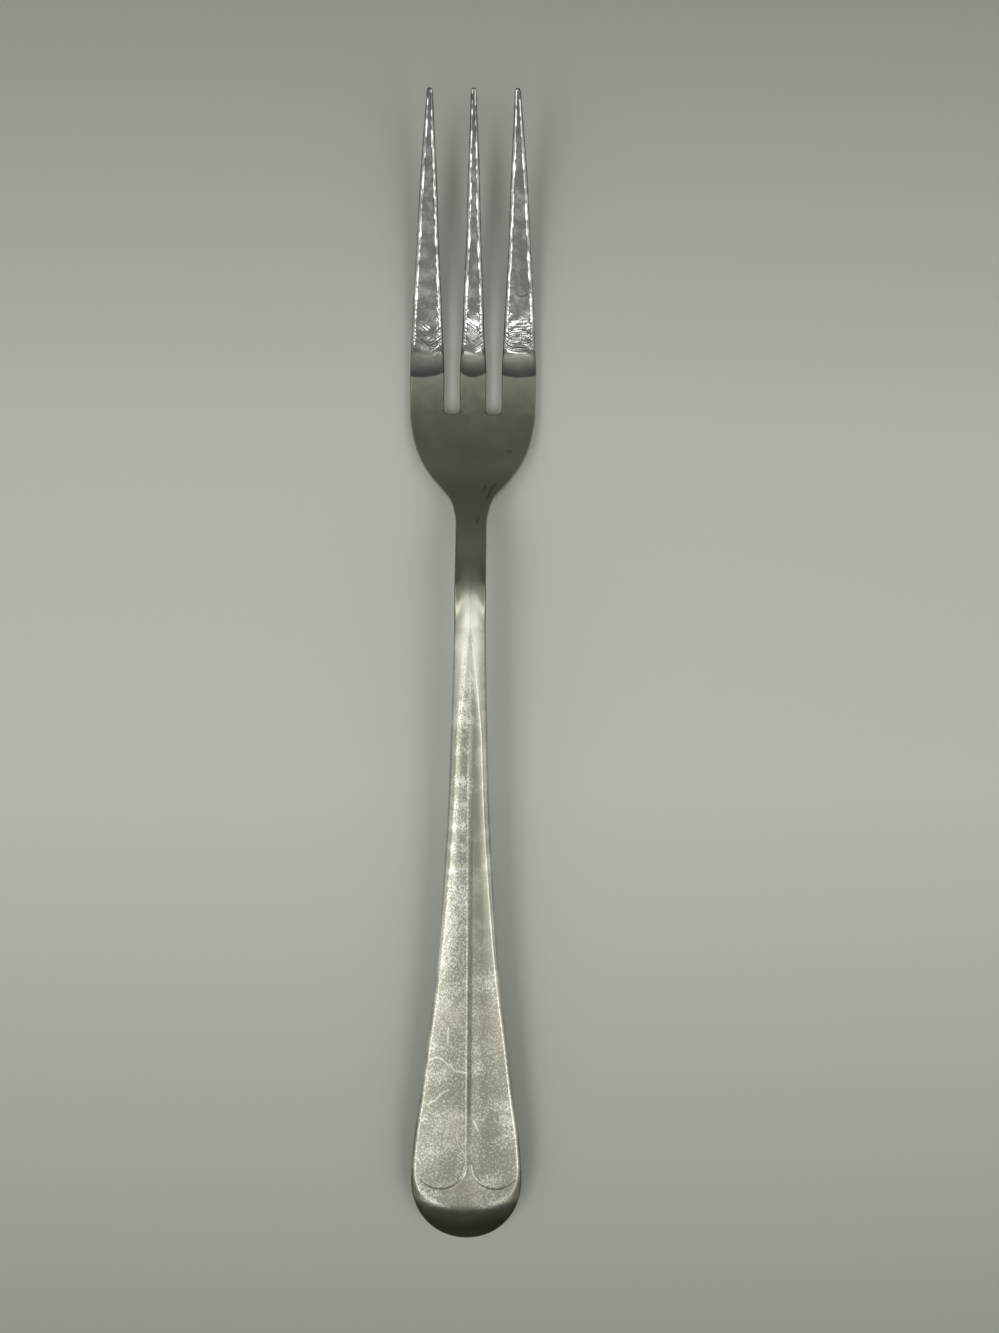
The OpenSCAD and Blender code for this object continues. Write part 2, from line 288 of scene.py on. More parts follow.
print(f"chamfer {chamfer_width(SLOT_Y):.2f} mm wide on the head, {chamfer_width(TIP_Y):.2f} mm on the tines")

# %% [markdown]
# The handle's top is struck with two long panels between rounded flanks. A bevel along an edge
# would give even flanks, but these fan out from a point on the arch, get steeper towards the edge
# and turn across the end. So they follow a rule: how far a point lies outside the ridge says how
# much is struck off there.

# %% Ridges and flanks of the handle
CREST_Y, PANEL_TAPER, TAPER_POWER, ONSET = 8.5, 18.5, 0.6, 0.06
NECK_BEVEL, END_BEVEL, BEVEL_FROM, BEVEL_TO = 1.05, 0.62, -15, -65
RIDGE_Y, RIDGE_LEN, RIDGE_POWER, BACK_REACH = -84.0, 7.1, 2.5, 3
LEAST_RIDGE, LEAST_FLANK = 0.02, 0.2
FLANK_FROM, FLANK_TO = math.radians(23), math.radians(34)
NECK_FROM, NECK_TO = math.radians(13), math.radians(27)
FLATTER_FROM, FLATTER_TO = -2, 9


def bevel(y):
    """Width of the flanks, which get narrower from the neck to the end."""
    return blend(NECK_BEVEL, END_BEVEL, ease(y, BEVEL_FROM, BEVEL_TO))


def ridge(y):
    """Half the width between the two ridges where the flanks start."""
    opening = place(y, CREST_Y, CREST_Y - PANEL_TAPER)
    opening = (opening ** 2 * (1 + ONSET) / (opening + ONSET)) ** TAPER_POWER
    curved = np.maximum(0, 1 - place(y, RIDGE_Y, RIDGE_Y - RIDGE_LEN) ** RIDGE_POWER) ** (1 / RIDGE_POWER)
    on_handle = (half_width(y) - bevel(y)) * opening * curved
    on_neck = ease(y, NECK_Y, HEAD_Y) * (NECK_W / 2 - chamfer_width(y))
    return np.maximum(LEAST_RIDGE, np.where(y > NECK_Y, on_neck, on_handle))


def beyond_ridge(x, y):
    """Distance outside the ridge, which follows the sides and then curves across the end."""
    wide = half_width(np.full_like(y, RIDGE_Y)) - END_BEVEL
    back = place(y, RIDGE_Y, RIDGE_Y - BACK_REACH * RIDGE_LEN) * BACK_REACH
    turned = wide * (((np.abs(x) / wide) ** RIDGE_POWER + back ** RIDGE_POWER) ** (1 / RIDGE_POWER) - 1)
    return np.where(y < RIDGE_Y, turned, np.abs(x) - ridge(y))


def flank_width(y):
    wide = half_width(y) - np.where(y > CREST_Y, LEAST_RIDGE, ridge(y))
    return np.where(y < RIDGE_Y, END_BEVEL, np.maximum(LEAST_FLANK, wide))


def flank(u, y):
    """What the rounded flank takes off at u outside the ridge. It gets steeper towards its edge."""
    width, on_neck = flank_width(y), ease(y, FLATTER_FROM, FLATTER_TO)
    first, last = blend(FLANK_FROM, NECK_FROM, on_neck), blend(FLANK_TO, NECK_TO, on_neck)
    turned = blend(first, last, np.clip(u / width, 0, 1))
    rounded = width / (last - first) * np.log(np.cos(first) / np.cos(turned))
    return rounded + np.tan(last) * np.maximum(0, u - width)


print(f"flanks {flank_width(RIDGE_Y):.2f} mm wide at the end, {flank_width(NECK_Y):.2f} mm at the neck")

# %% [markdown]
# A groove with a raised rim runs between the panels, and an engraved arc ends each of them. A bump
# texture could draw these lines, but they catch the light along their whole length and show from
# the side, so they are real relief. Each panel is also a little higher in its middle.

# %% Arcs, groove and crown of the panels
ARC_X, ARC_Y, ARC_R, ARC_W, ARC_DEPTH, ARC_LIP = 4.66, -83.3, 4.24, 0.16, 0.05, 0.45
ARC_START, ARC_FULL = 0.55, 0.8
GROOVE_X, GROOVE_FROM, GROOVE_FADE, GROOVE_DEPTH = 0.3, -9.0, 16, 0.06
GROOVE_STEEP, GROOVE_GENTLE = (-0.5, -0.25), (0.2, 2.4)
RIM_X, RIM_W, GROOVE_RIM = -0.55, 0.15, 0.015
SPLIT_Y, SPLIT_FADE = WIDEST_Y + 2.8, 1.5
CROWN, DOMED, CROWN_FROM, CROWN_FULL = 0.1, 0.12, 0.3, 3


def arc_place(x, y):
    """Distance from the line round the nearer panel's end, and the turn along it from outside in."""
    sideways = np.abs(x - GROOVE_X) - ARC_X
    return np.hypot(sideways, y - ARC_Y) - ARC_R, -np.arctan2(y - ARC_Y, sideways)


def arcs(x, y):
    """Depth of the engraved line round the end of each panel, with a raised lip on both sides."""
    off, turn = arc_place(x, y)
    cut = bell(off, 0, ARC_W) - ARC_LIP * bell(np.abs(off), 2 * ARC_W, ARC_W)
    return ARC_DEPTH * cut * ease(turn, ARC_START, ARC_FULL) * (y < ARC_Y)


def groove(x, y):
    """Depth of the groove: steep on its left, fading out over the right panel, and a little uneven."""
    g = x - GROOVE_X
    uneven = 1 + 0.25 * np.sin(7.3 * y) * np.sin(3.1 * y + 1)
    cut = GROOVE_DEPTH * uneven * ease(g, *GROOVE_STEEP) * (1 - ease(g, *GROOVE_GENTLE))
    cut = cut - GROOVE_RIM * bell(g, RIM_X, RIM_W)
    return cut * ease(y, GROOVE_FROM, GROOVE_FROM - GROOVE_FADE) * ease(y, SPLIT_Y - SPLIT_FADE, SPLIT_Y)


def crown(x, y):
    """Each panel rises to its middle, and the two together fall towards the sides."""
    inner = ridge(y)
    across = np.clip(np.abs(x) / inner, 0, 1)
    raised = CROWN * (1 - (2 * across - 1) ** 2) - DOMED * across ** 2
    return raised * place(inner, CROWN_FROM, CROWN_FULL) * ease(y, TURN_Y - 1, ARC_Y) * (y < NECK_Y)


print(f"groove {GROOVE_DEPTH} mm deep, from {GROOVE_FROM} to {SPLIT_Y:.1f} mm along the fork")

# %% [markdown]
# The whole top of the handle and neck. Along the handle the top falls away over the flanks. At the
# head the flanks run out into a flat with a slight chamfer, sooner at the sides than in the middle,
# and at the end they run into a struck dome. Three separate shapes would meet in hard lines, so
# each is blended into the next.

# %% The whole top of the handle and neck
RIDGE_SOFT, CREST_SOFT, END_SOFT, CREST_FADE = 0.1, 0.03, 1.1, 2
SPLIT_SOFT, PART_FROM, PART_FULL, PART_FADE = 0.5, -12, 1, 5
HEAD_BLEND, HEAD_FAN = 7, 1.5
DOME_FROM, DOME_FULL, DOME_BEND = RIDGE_Y - 1.5, RIDGE_Y - 6, 0.008
TINY = 1e-6


def softness(y):
    """How round the ridge is: sharp on the crest, worn where the two ridges part, sharper below."""
    soft = blend(RIDGE_SOFT, CREST_SOFT, ease(y, CREST_Y - CREST_FADE, CREST_Y))
    return soft + SPLIT_SOFT * ease(y, PART_FROM, PART_FULL) * ease(y, CREST_Y, CREST_Y - PART_FADE)


def bar_top(x, y):
    u = beyond_ridge(x, y)
    from_crest = np.where(y > CREST_Y, np.abs(x) - LEAST_RIDGE, u)
    from_flat = np.where(y > CREST_Y, np.abs(x) - NECK_W / 2 + chamfer_width(y), u)
    to_head = ease(y + HEAD_FAN * np.abs(x), NECK_Y, NECK_Y + HEAD_BLEND)
    to_end = ease(y, DOME_FROM, DOME_FULL)
    rounded = flank(soft_ramp(from_crest, softness(y)), y)
    struck = CHAMFER_SLOPE * soft_ramp(from_flat, CREASE + END_SOFT * to_end)
    struck = struck + DOME_BEND * np.maximum(0, u) ** 2 * to_end
    fall = blend(rounded, struck, np.maximum(to_head, to_end))
    return deck(y) - fall + crown(x, y) - groove(x, y) - arcs(x, y)


def plain_inside(x, y):
    return half_width(y) - np.abs(x)


def bar_inside(x, y):
    """Distance inside the outline of the handle."""
    back = np.minimum(0, y - WIDEST_Y) / END_ROUND
    e = np.hypot(x / (END_W / 2), back)
    steep = np.hypot(x / (END_W / 2) ** 2, back / END_ROUND) / np.maximum(e, TINY)
    return np.where(y < WIDEST_Y, (1 - e) / np.maximum(steep, TINY), plain_inside(x, y))


print(f"the blend into the dome starts at {DOME_FROM} mm and is done at {DOME_FULL} mm")

# %% [markdown]
# The head is dished a little. The tines keep a flat middle between their chamfers, with ripples
# across them that polishing left: fine ones above the heel, in a V on two tines and in a bow on
# the right one, and long ones further up. A bump texture is too weak for this, because a polished
# face shows its waves as bent reflections, so the surface itself has them.

# %% Ripples on the tines
FINE_RIPPLE_Y, FINE_RIPPLE_LEN, FINE_RIPPLE, FINE_RIPPLE_DEPTH = 57.8, 3.4, 0.62, 0.011
LONG_RIPPLE_Y, LONG_RIPPLE_LEN, LONG_RIPPLE, LONG_RIPPLE_DEPTH = 78.0, 17.0, 1.9, 0.02
BOWED_FROM_X, BOW, VEE, VEE_X = 4, 0.025, 0.75, 0.5
LEAST_RIPPLE, EDGE_REACH, CALM_FROM, CALM_TO = 0.25, 0.4, FACET_Y + 2.5, FACET_Y + 6
LIP, LIP_AHEAD, LIP_W = 0.012, 0.4, 0.3


def wave(at, length):
    return np.sin(2 * np.pi * at / length)


def ripples(x, y, centre, from_chamfer):
    """Height of the ripples, which stay strong along the chamfers and calm down between them."""
    off = x - centre
    bent = y - np.where(x > BOWED_FROM_X, BOW * off ** 4, VEE * np.abs(off - VEE_X))
    fine = FINE_RIPPLE_DEPTH * bell(y, FINE_RIPPLE_Y, FINE_RIPPLE_LEN) * wave(bent, FINE_RIPPLE)
    fine = fine * ease(bent, FACET_Y - 0.8, FACET_Y)
    wavy = y + 0.6 * np.sin(0.31 * y) + 0.5 * np.sin(1.3 * x)
    wide = LONG_RIPPLE_DEPTH * bell(y, LONG_RIPPLE_Y, LONG_RIPPLE_LEN) * wave(wavy, LONG_RIPPLE)
    at_edge = blend(LEAST_RIPPLE, 1, bell(from_chamfer, 0, EDGE_REACH))
    strength = np.maximum(at_edge, 1 - ease(bent, CALM_FROM, CALM_TO)) * ease(y, FACET_Y - 2, FACET_Y)
    lip = LIP * bell(bent, FACET_Y + LIP_AHEAD, LIP_W) * ease(y, FACET_Y - 2.5, FACET_Y - 1.5)
    return (fine + wide) * strength + lip


print(f"fine ripples {FINE_RIPPLE} mm long, wide ones {LONG_RIPPLE} mm")

# %% The top of the head and tines
DISH, ROOT_OPEN = 0.35, 3
LEAST_CREASE, CREASE_SHARE, EDGE_SHARE = 0.25, 0.2, 0.8


def unevenness(x, y, centre):
    """Polishing by hand makes the chamfer's inner edge now sharp and now round along the tines."""
    turn = 1.3 * np.sign(x - centre) + 0.9 * centre
    wander = 0.3 + 1.4 * np.sin(1.3 * y + turn) * np.sin(0.57 * y + 2 * turn)
    return 1 + wander * ease(y, FACET_Y, FACET_Y + 4)


def blade_top(x, y, narrow):
    """Height of the head's and the tines' top. narrow is half the width of the tine there."""
    to_side = from_side(x, y)
    inside = np.where(y < SLOT_Y - SLOT_REACH, to_side, np.minimum(from_slots(x, y), to_side))
    chamfer = narrow_chamfer(y, narrow)
    struck = np.minimum(to_side, inside + 2 * (1 - ease(y, SLOT_Y, SLOT_Y + ROOT_OPEN)))
    centre = np.where(np.abs(x) > MID_ROOT_W / 2 + SLOT_W / 2, np.sign(x) * right_tine(y)[0], 0)
    crease = np.minimum(CREASE * np.maximum(LEAST_CREASE, unevenness(x, y, centre)), CREASE_SHARE * narrow)
    drop = CHAMFER_SLOPE * soft_ramp(chamfer - struck, crease)
    dish = DISH * np.sin(np.pi * place(y, HEAD_Y, SLOT_Y)) ** 2
    dish = dish * (1 - (x / half_width(np.minimum(y, SLOT_Y))) ** 2)
    edge = round_drop(inside, np.minimum(EDGE_R, EDGE_SHARE * narrow))
    return deck(y) - drop - edge - dish + ripples(x, y, centre, inside - chamfer)


print(f"the head is dished by {DISH} mm")

# %% [markdown]
# A skin starts as a round bar: a cylinder with one side for each point of the section. Its long
# edges are subdivided into stations. Then every ring is pressed into the section at its station,
# as the die does it: the top by the height rules above, the sides upright and the underside flat
# with round edges. Extruding a section step by step gives the same mesh, but subdividing takes far
# fewer operator calls.

# %% A bar with stations
def deselect():
    if bpy.context.object and bpy.context.object.mode != "OBJECT":
        bpy.ops.object.mode_set(mode="OBJECT")
    bpy.ops.object.select_all(action="DESELECT")


def bar(name, sides, cuts):
    """A closed bar of unit size with that many sides, cut across by each number of cuts in turn."""
    deselect()
    bpy.ops.mesh.primitive_cylinder_add(vertices=sides, radius=1, depth=1)
    piece = bpy.context.object
    piece.name = piece.data.name = name
    for count in cuts:
        bpy.ops.object.mode_set(mode="EDIT")
        bpy.ops.mesh.select_mode(type="EDGE")
        bpy.ops.mesh.select_all(action="DESELECT")
        bpy.ops.object.mode_set(mode="OBJECT")
        heights = [piece.data.vertices[v].co.z for e in piece.data.edges for v in e.vertices]
        first, last = np.array(heights).reshape(-1, 2).T
        piece.data.edges.foreach_set("select", np.abs(first - last) > TINY)
        bpy.ops.object.mode_set(mode="EDIT")
        bpy.ops.mesh.subdivide(number_cuts=count)
        bpy.ops.object.mode_set(mode="OBJECT")
    return piece


def across(marks, counts):
    """Places from the middle to the side of a section, closer together on the round edge at the end."""
    steps = []
    for k, count in enumerate(counts):
        t = np.arange(1, count + 1) / count
        t = np.sin(t * np.pi / 2) if k == len(counts) - 1 else t
        steps.append(blend(marks[k][:, None], marks[k + 1][:, None], t))
    half = np.concatenate(steps, axis=1)
    return np.concatenate([-half[:, ::-1], 0 * half[:, :1], half], axis=1)


def spread(marks, counts):
    """Stations: counts[i] steps from marks[i] to marks[i + 1]."""
    out = [marks[0]]
    for a, b, n in zip(marks, marks[1:], counts):
        out += list(a + (b - a) * np.arange(1, n + 1) / n)
    return out


print("a stretch of 3 steps has the stations", spread([0, 3], [3]))

# %% [markdown]
# The press moves every point of a bar to its place on the section. Sculpting or a shrinkwrap could
# do that by eye, but moving the points by rule leaves each one where the wear can be written on
# it: the looks of the top are stored on the same points as attributes.

# %% The press
WALL, UNDER, UNDER_SHARE = 4, 12, 0.45


def ring_size(counts):
    """Points round a section: the top, two walls and the underside."""
    return 2 * sum(counts) + 1 + 2 * WALL + 2 * UNDER + 1


def press(piece, stations, middle, half, marks, counts, top, inside, looks, shrink=None):
    """Moves each ring of the bar to its section, and keeps how each point of the top looks."""
    y = np.array(stations, float)
    cx, w = middle(y), half(y)
    offset = across([0 * y] + [np.minimum(m(y), w) for m in marks] + [w], counts)
    x_top = cx[:, None] + offset
    y_top = np.broadcast_to(y[:, None], x_top.shape).copy()
    z_top = top(x_top, y_top)
    under = w[:, None] * np.sin(np.linspace(np.pi / 2, -np.pi / 2, 2 * UNDER + 1))
    x_low = cx[:, None] + under
    y_low = np.broadcast_to(y[:, None], x_low.shape).copy()
    low = underside(y_low)
    room = np.minimum(UNDER_R, UNDER_SHARE * (z_top[:, :1] - low))
    z_low = np.maximum(0, low) + round_drop(np.maximum(0, inside(x_low, y_low)), room)
    t = np.arange(1, WALL + 1) / (WALL + 1)
    x = np.concatenate([x_top, x_top[:, -1:] + 0 * t, x_low, x_top[:, :1] + 0 * t], axis=1)
    right, left = blend(z_top[:, -1:], z_low[:, :1], t), blend(z_low[:, -1:], z_top[:, :1], t)
    z = np.concatenate([z_top, right, z_low, left], axis=1)
    if shrink is not None:
        share = shrink(y)[:, None]
        core = (deck(y) + underside(y))[:, None] / 2
        x, z = blend(cx[:, None], x, share), blend(core, z, share)
    co = np.zeros(len(piece.data.vertices) * 3)
    piece.data.vertices.foreach_get("co", co)
    co = co.reshape(-1, 3)
    turn = np.arctan2(co[:, 1], co[:, 0]) / (2 * np.pi) * x.shape[1]
    i = np.round(turn - turn[0]).astype(int) % x.shape[1]
    k = np.round((co[:, 2] + 0.5) * (len(y) - 1)).astype(int)
    new = np.stack([x[k, i], y[k], np.maximum(z, 0)[k, i]], axis=1) * MM
    piece.data.vertices.foreach_set("co", new.ravel())
    y_all = np.broadcast_to(y[:, None], x.shape)
    on_top = np.arange(x.shape[1]) < x_top.shape[1]
    for name, value in looks(x, y_all).items():
        value = np.broadcast_to(value, x.shape) * (on_top | (name == "finish"))
        stored = piece.data.attributes.new(name, "FLOAT", "POINT")
        stored.data.foreach_set("value", value[k, i].astype(np.float32))
    piece.data.update()


print("the underside has", 2 * UNDER + 1, "points across")

# %% Finishing a skin
MERGE, SMOOTH_UNDER = 1e-7, math.radians(50)


def finish_skin(piece, node):
    """Merges what coincides, smooths, and puts the skin in the place of its region."""
    deselect()
    bpy.context.view_layer.objects.active = piece
    piece.select_set(True)
    bpy.ops.object.mode_set(mode="EDIT")
    bpy.ops.mesh.select_all(action="SELECT")
    bpy.ops.mesh.remove_doubles(threshold=MERGE)
    bpy.ops.mesh.normals_make_consistent(inside=False)
    bpy.ops.object.mode_set(mode="OBJECT")
    bpy.ops.object.shade_smooth_by_angle(angle=SMOOTH_UNDER)
    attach(piece, "root")
    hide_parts(node)
    lo = [min(v.co[a] for v in piece.data.vertices) / MM for a in range(3)]
    hi = [max(v.co[a] for v in piece.data.vertices) / MM for a in range(3)]
    faces = sum(len(p.vertices) - 2 for p in piece.data.polygons)
    print(piece.name, [round(v, 2) for v in lo], [round(v, 2) for v in hi], faces, "triangles")


def skin(node, cuts, stations, middle, half, marks, counts, top, inside, looks, shrink=None):
    """Makes the bar for a region, presses it and finishes it."""
    piece = bar(node + "_skin", ring_size(counts), cuts)
    press(piece, stations, middle, half, marks, counts, top, inside, looks, shrink)
    finish_skin(piece, node)
    return piece


print("faces that meet at less than", round(math.degrees(SMOOTH_UNDER)), "degrees are shaded smooth")

# %% [markdown]
# On the real fork the handle is rubbed bright in places, dirty in the groove and scratched.
# Painted highlights and painted shade are put on it too. An image could be painted for this, and
# plain noise would put it nowhere in particular. Here each mark is a soft spot or line at a place in
# millimetres. What they add up to is stored on the skin's points as attributes, such as
# dirt or bright, and the steel reads them there.

# %% Spots and lines
FAR_AWAY = 1e9


def line(x, y, points, width):
    """1 along a line through points, fading to 0 within about width."""
    near = np.full(np.shape(x), FAR_AWAY)
    for (x0, y0), (x1, y1) in zip(points, points[1:]):
        along = (x - x0) * (x1 - x0) + (y - y0) * (y1 - y0)
        t = np.clip(along / ((x1 - x0) ** 2 + (y1 - y0) ** 2), 0, 1)
        near = np.minimum(near, np.hypot(x - x0 - t * (x1 - x0), y - y0 - t * (y1 - y0)))
    return np.exp(-(near / width) ** 2)


def spot(x, y, cx, cy, rx, ry):
    """1 at cx, cy, fading to 0 beyond rx to the sides and ry along the fork."""
    return np.exp(-((x - cx) / rx) ** 2 - ((y - cy) / ry) ** 2)


def spots(x, y, places):
    """Sum of spots. Each place has the middle, the two reaches and how strong the spot is."""
    return sum(level * spot(x, y, *where) for *where, level in places)


print("halfway out, a spot is down to", round(float(spot(0.5, 0, 0, 0, 1, 1)), 2))

# %% Places of the marks on the handle
HANDLE_SCRATCHES = [
    [(-6.3, -65.0), (-5.6, -64.6), (-4.8, -64.6), (-4.2, -64.9), (-3.5, -65.5), (-2.7, -66.0),
     (-2.2, -66.7), (-1.7, -67.0), (-1, -67.0), (0, -67.2)],
    [(-6.2, -72.4), (-5.3, -71.9), (-4.6, -71.1), (-4.0, -70.6), (-3.1, -70.1)],
    [(-3.2, -59.3), (-3.3, -61.9)],
    [(-7.5, -75.6), (-7.2, -75.1), (-6.7, -75.4)],
    [(1.1, -75.4), (2.0, -77.3)],
]
SCRATCH_W = 0.11
BLOTCHES = [-4.6, -7.1, -12.1, -17.2, -21.2, -24.9, -28.6, -32.3]
SHINY = [
    (-3.6, -76, 1.9, 3.4, 0.42), (-6.2, -80, 1.3, 3, 0.42), (-3, -58.5, 2, 2.6, 0.3),
    (6.6, -76, 0.9, 6, 0.3), (5.2, -62, 0.8, 6, 0.2), (1.4, -64, 0.5, 4, 0.15),
    (-2.2, -37.5, 2, 3.5, 0.3), (-2.6, -46, 2.4, 5.5, 0.36), (2.2, -26, 2, 7, -0.2), (-2, -18, 2, 14, -0.22),
]
WARM = [
    (-3, -57.5, 2.4, 3.2, 1), (-2.6, -77, 2.4, 4, 1), (4.5, -58.5, 2.4, 5, 1), (0.5, -87.8, 4, 1.5, 1),
    (0.7, -73, 0.5, 3, 1),
]
# Painted highlight on the crest of the arch and just behind it.
ARCH_HIGHLIGHT_SPOTS = [(0.3, 11, 1.4, 4, 1.3), (0, 2.5, 1.3, 6.5, 0.7)]
CALM, MATTE = (0, 3, 1.2, 6), (0, 5, 1.6, 9)
# The second spot here darkens both sides of the neck's top: painted shade.
# The third spot here places two crescents of painted highlight near the end.
BROWN, NECK_SIDE_SHADE, HIGHLIGHT_CRESCENTS = (0.6, -88.3, 2.2, 1.2), (2.4, 15.5, 1.2, 3.5), (5.2, -89.3, 2.2, 2)
print(len(HANDLE_SCRATCHES), "scratches,", len(SHINY), "rubbed places,", len(BLOTCHES), "rows of blotches")

# %% [markdown]
# Dirt gathers where a cloth doesn't reach: in the groove and the arcs. The dark along the rim of
# the flanks, on the corners, the land and the dome of the turned-down end, and on both sides of the
# neck's top is painted shade. All of it follows the struck shapes, so it is worked out from the
# same distances. Only the brown patch and the shade on the neck are spots at given places.

# %% Dirt and painted shade on the handle
ARC_DARK_W, ARC_SPAN = 0.13, (0.55, 0.9, 2.3, 2.7)
GROOVE_DARK_FADE, GROOVE_CLEAN = 22, (73, 78)
# Arc and groove amounts are dirt; rim, corner, end and dome amounts are painted shade.
ARC_DIRT, GROOVE_DIRT, RIM_SHADE, CORNER_SHADE, END_SHADE, DOME_SHADE = 0.9, 0.7, 0.35, 0.55, 0.6, 0.35
BROWN_DIRT, NECK_SHADE_DEPTH = 0.3, 0.5


def groove_dirt(g, y):
    """Darkest along the groove's steep side, paler at the handle's end."""
    dark = ease(g, -0.35, -0.15) * (1 - 0.65 * ease(g, 0.3, 0.65)) * (1 - ease(g, 0.4, 1.8))
    dark = dark * ease(y, GROOVE_FROM, GROOVE_FROM - GROOVE_DARK_FADE)
    return dark * (1 - 0.5 * ease(-y, *GROOVE_CLEAN)) * ease(y, SPLIT_Y - 2 * SPLIT_FADE, SPLIT_Y)


def handle_dirt_and_shade(x, y, u, on_end):
    off, turn = arc_place(x, y)
    along_arc = ease(turn, *ARC_SPAN[:2]) * (1 - ease(turn, *ARC_SPAN[2:])) * (y < ARC_Y)
    dirt = ARC_DIRT * bell(off, 0, ARC_DARK_W) * along_arc
    dirt = dirt + GROOVE_DIRT * groove_dirt(x - GROOVE_X, y)
    dirt = dirt + BROWN_DIRT * spot(x, y, *BROWN)
    # Painted shade: darker along the outer rim of the flanks.
    dirt = dirt + RIM_SHADE * ease(u / flank_width(y), 0.86, 1) * (y > RIDGE_Y)
    # Painted shade: the turned-down end and its dome are painted darker.
    dirt = dirt + END_SHADE * (y < RIDGE_Y) * ease(u, 0.3, 4.2) + DOME_SHADE * on_end * ease(u, 2, 5.5)
    # Painted shade on the corners of the turned-down end.
    dirt = dirt + CORNER_SHADE * ease(u, 0.05, 0.6) * ease(np.abs(x), 7, 8.6) * (y < RIDGE_Y)
    # Painted shade on both sides of the neck's top.
    return dirt + NECK_SHADE_DEPTH * spot(np.abs(x), y, *NECK_SIDE_SHADE)


print("dirt on the middle of the dome:", round(float(handle_dirt_and_shade(0, np.array(-95.0), 6, 1)), 2))

# %% [markdown]
# Hands and cloths rub some places bright. The lines along the ridges, the light on the flanks, the
# highlight on the crest of the arch and two crescents near the end are painted highlights. The left
# panel is painted a little lighter, as light falls on it, and its blotches are painted highlights
# of polishing waves. Noise could give blotches anywhere, so these are spots at their own places.

# %% Rubbed places and painted highlights of the handle
RIDGE_HIGHLIGHT, RIGHT_RIDGE_HIGHLIGHT, RIDGE_HIGHLIGHT_W = 0.1, 0.65, 0.1
FLANK_LIGHT, CRESCENT_HIGHLIGHT, BLOTCH_HIGHLIGHT = 0.5, 1.1, 0.7
BLOTCH_COLUMNS, BLOTCH_REACH, BLOTCH_GROWTH, BLOTCH_LENGTH = (-0.9, -0.35), 0.2, 0.15, 0.8
LEFT_PANEL_LIGHT, DULL, LAND_SHADE = 0.1, 0.16, 0.1


def blotches(x, y):
    """Two columns of painted highlights of polishing waves on the left panel, which get wider with it."""
    return sum(
        spot(x, y, share * ridge(middle), middle, BLOTCH_REACH + BLOTCH_GROWTH * ridge(middle), BLOTCH_LENGTH)
        for middle in BLOTCHES for share in BLOTCH_COLUMNS)


def handle_rubbing_and_highlights(x, y, u, arch_highlight):
    # Painted highlights along the ridges, stronger on the right.
    edge = (RIDGE_HIGHLIGHT + RIGHT_RIDGE_HIGHLIGHT * (x > 0)) * bell(u, 0.05, RIDGE_HIGHLIGHT_W) * (y < 6) * (y > RIDGE_Y)
    # Painted light on the flanks.
    flanks = FLANK_LIGHT * ease(u, 0.15, 0.5) * ease(y, -82, -60) * ease(y, 12, 7)
    # Painted highlights: two crescents near the end.
    crescents = CRESCENT_HIGHLIGHT * bell(u, -0.3, 0.5) * spot(np.abs(x), y, *HIGHLIGHT_CRESCENTS)
    # Rubbed places, with the painted highlights added to them.
    rubbed_and_highlights = edge + flanks + crescents + arch_highlight + spots(x, y, SHINY) + BLOTCH_HIGHLIGHT * blotches(x, y)
    # Painted shade on the land of the turned-down end beyond the arcs.
    beyond_arcs = (y < RIDGE_Y) * (arc_place(x, y)[0] > 0)
    # Painted light: the left panel is lighter.
    return rubbed_and_highlights + LEFT_PANEL_LIGHT * ease(GROOVE_X - x, 0.3, 0.6) - DULL - LAND_SHADE * beyond_arcs


print("blotches:", len(BLOTCHES) * len(BLOTCH_COLUMNS), "in", len(BLOTCH_COLUMNS), "columns")

# %% All looks of the handle, by attribute
SATIN_FROM, SATIN_AHEAD = 1, 3
CALM_SHARE, MOST_SMOOTH = 0.8, 0.85


def handle_looks(x, y):
    """finish goes from worn to satin, smooth takes the specks away and matte blurs the reflections."""
    u = beyond_ridge(x, y)
    on_end = (y < RIDGE_Y) * ease(u, -0.7, 2.2)
    arch_highlight = spots(x, y, ARCH_HIGHLIGHT_SPOTS)
    flanks = ease(u, 0.1, 0.4) * (y > RIDGE_Y)
    right_panel = ease(x, 0.4, 0.9) * ease(y, -52, -40)
    scratched = sum(line(x, y, points, SCRATCH_W) for points in HANDLE_SCRATCHES)
    # The worn, brighter finish is kept under the painted highlight on the arch's crest.
    satin = ease(y, SATIN_FROM, NECK_Y + SATIN_AHEAD) * (1 - np.minimum(1, arch_highlight))
    return {
        "finish": np.maximum(satin, on_end),
        "dirt": np.clip(handle_dirt_and_shade(x, y, u, on_end), 0, 1),
        "bright": handle_rubbing_and_highlights(x, y, u, arch_highlight),
        "smooth": np.clip(CALM_SHARE * spot(x, y, *CALM) + flanks + right_panel, 0, MOST_SMOOTH),
        "matte": spot(x, y, *MATTE),
        "scratch": np.clip(scratched, 0, 1),
        "warm": np.clip(spots(x, y, WARM), 0, 1),
    }


print("from plain worn to plain satin between", SATIN_FROM, "and", round(NECK_Y + SATIN_AHEAD, 1), "mm")

# %% [markdown]
# The handle, the neck and the turned-down end. The handle gets fine stations where the arcs are
# engraved and wider ones along the plain panels. All three follow the same height rules, so the
# skins join without a step. One long mesh would do too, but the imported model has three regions.

# %% Handle, neck and turned-down end
def handle_top(x, y):
    return bar_top(x, y) - round_drop(np.maximum(0, bar_inside(x, y)), EDGE_R)


def zero(y):
    return 0 * y


def groove_side(y):
    return np.minimum(0.7, ridge(y) / 2)


def edge_start(y):
    """Where the rounded edge starts, but never nearer to the middle than half the width."""
    return np.maximum(half_width(y) - EDGE_R, half_width(y) / 2)


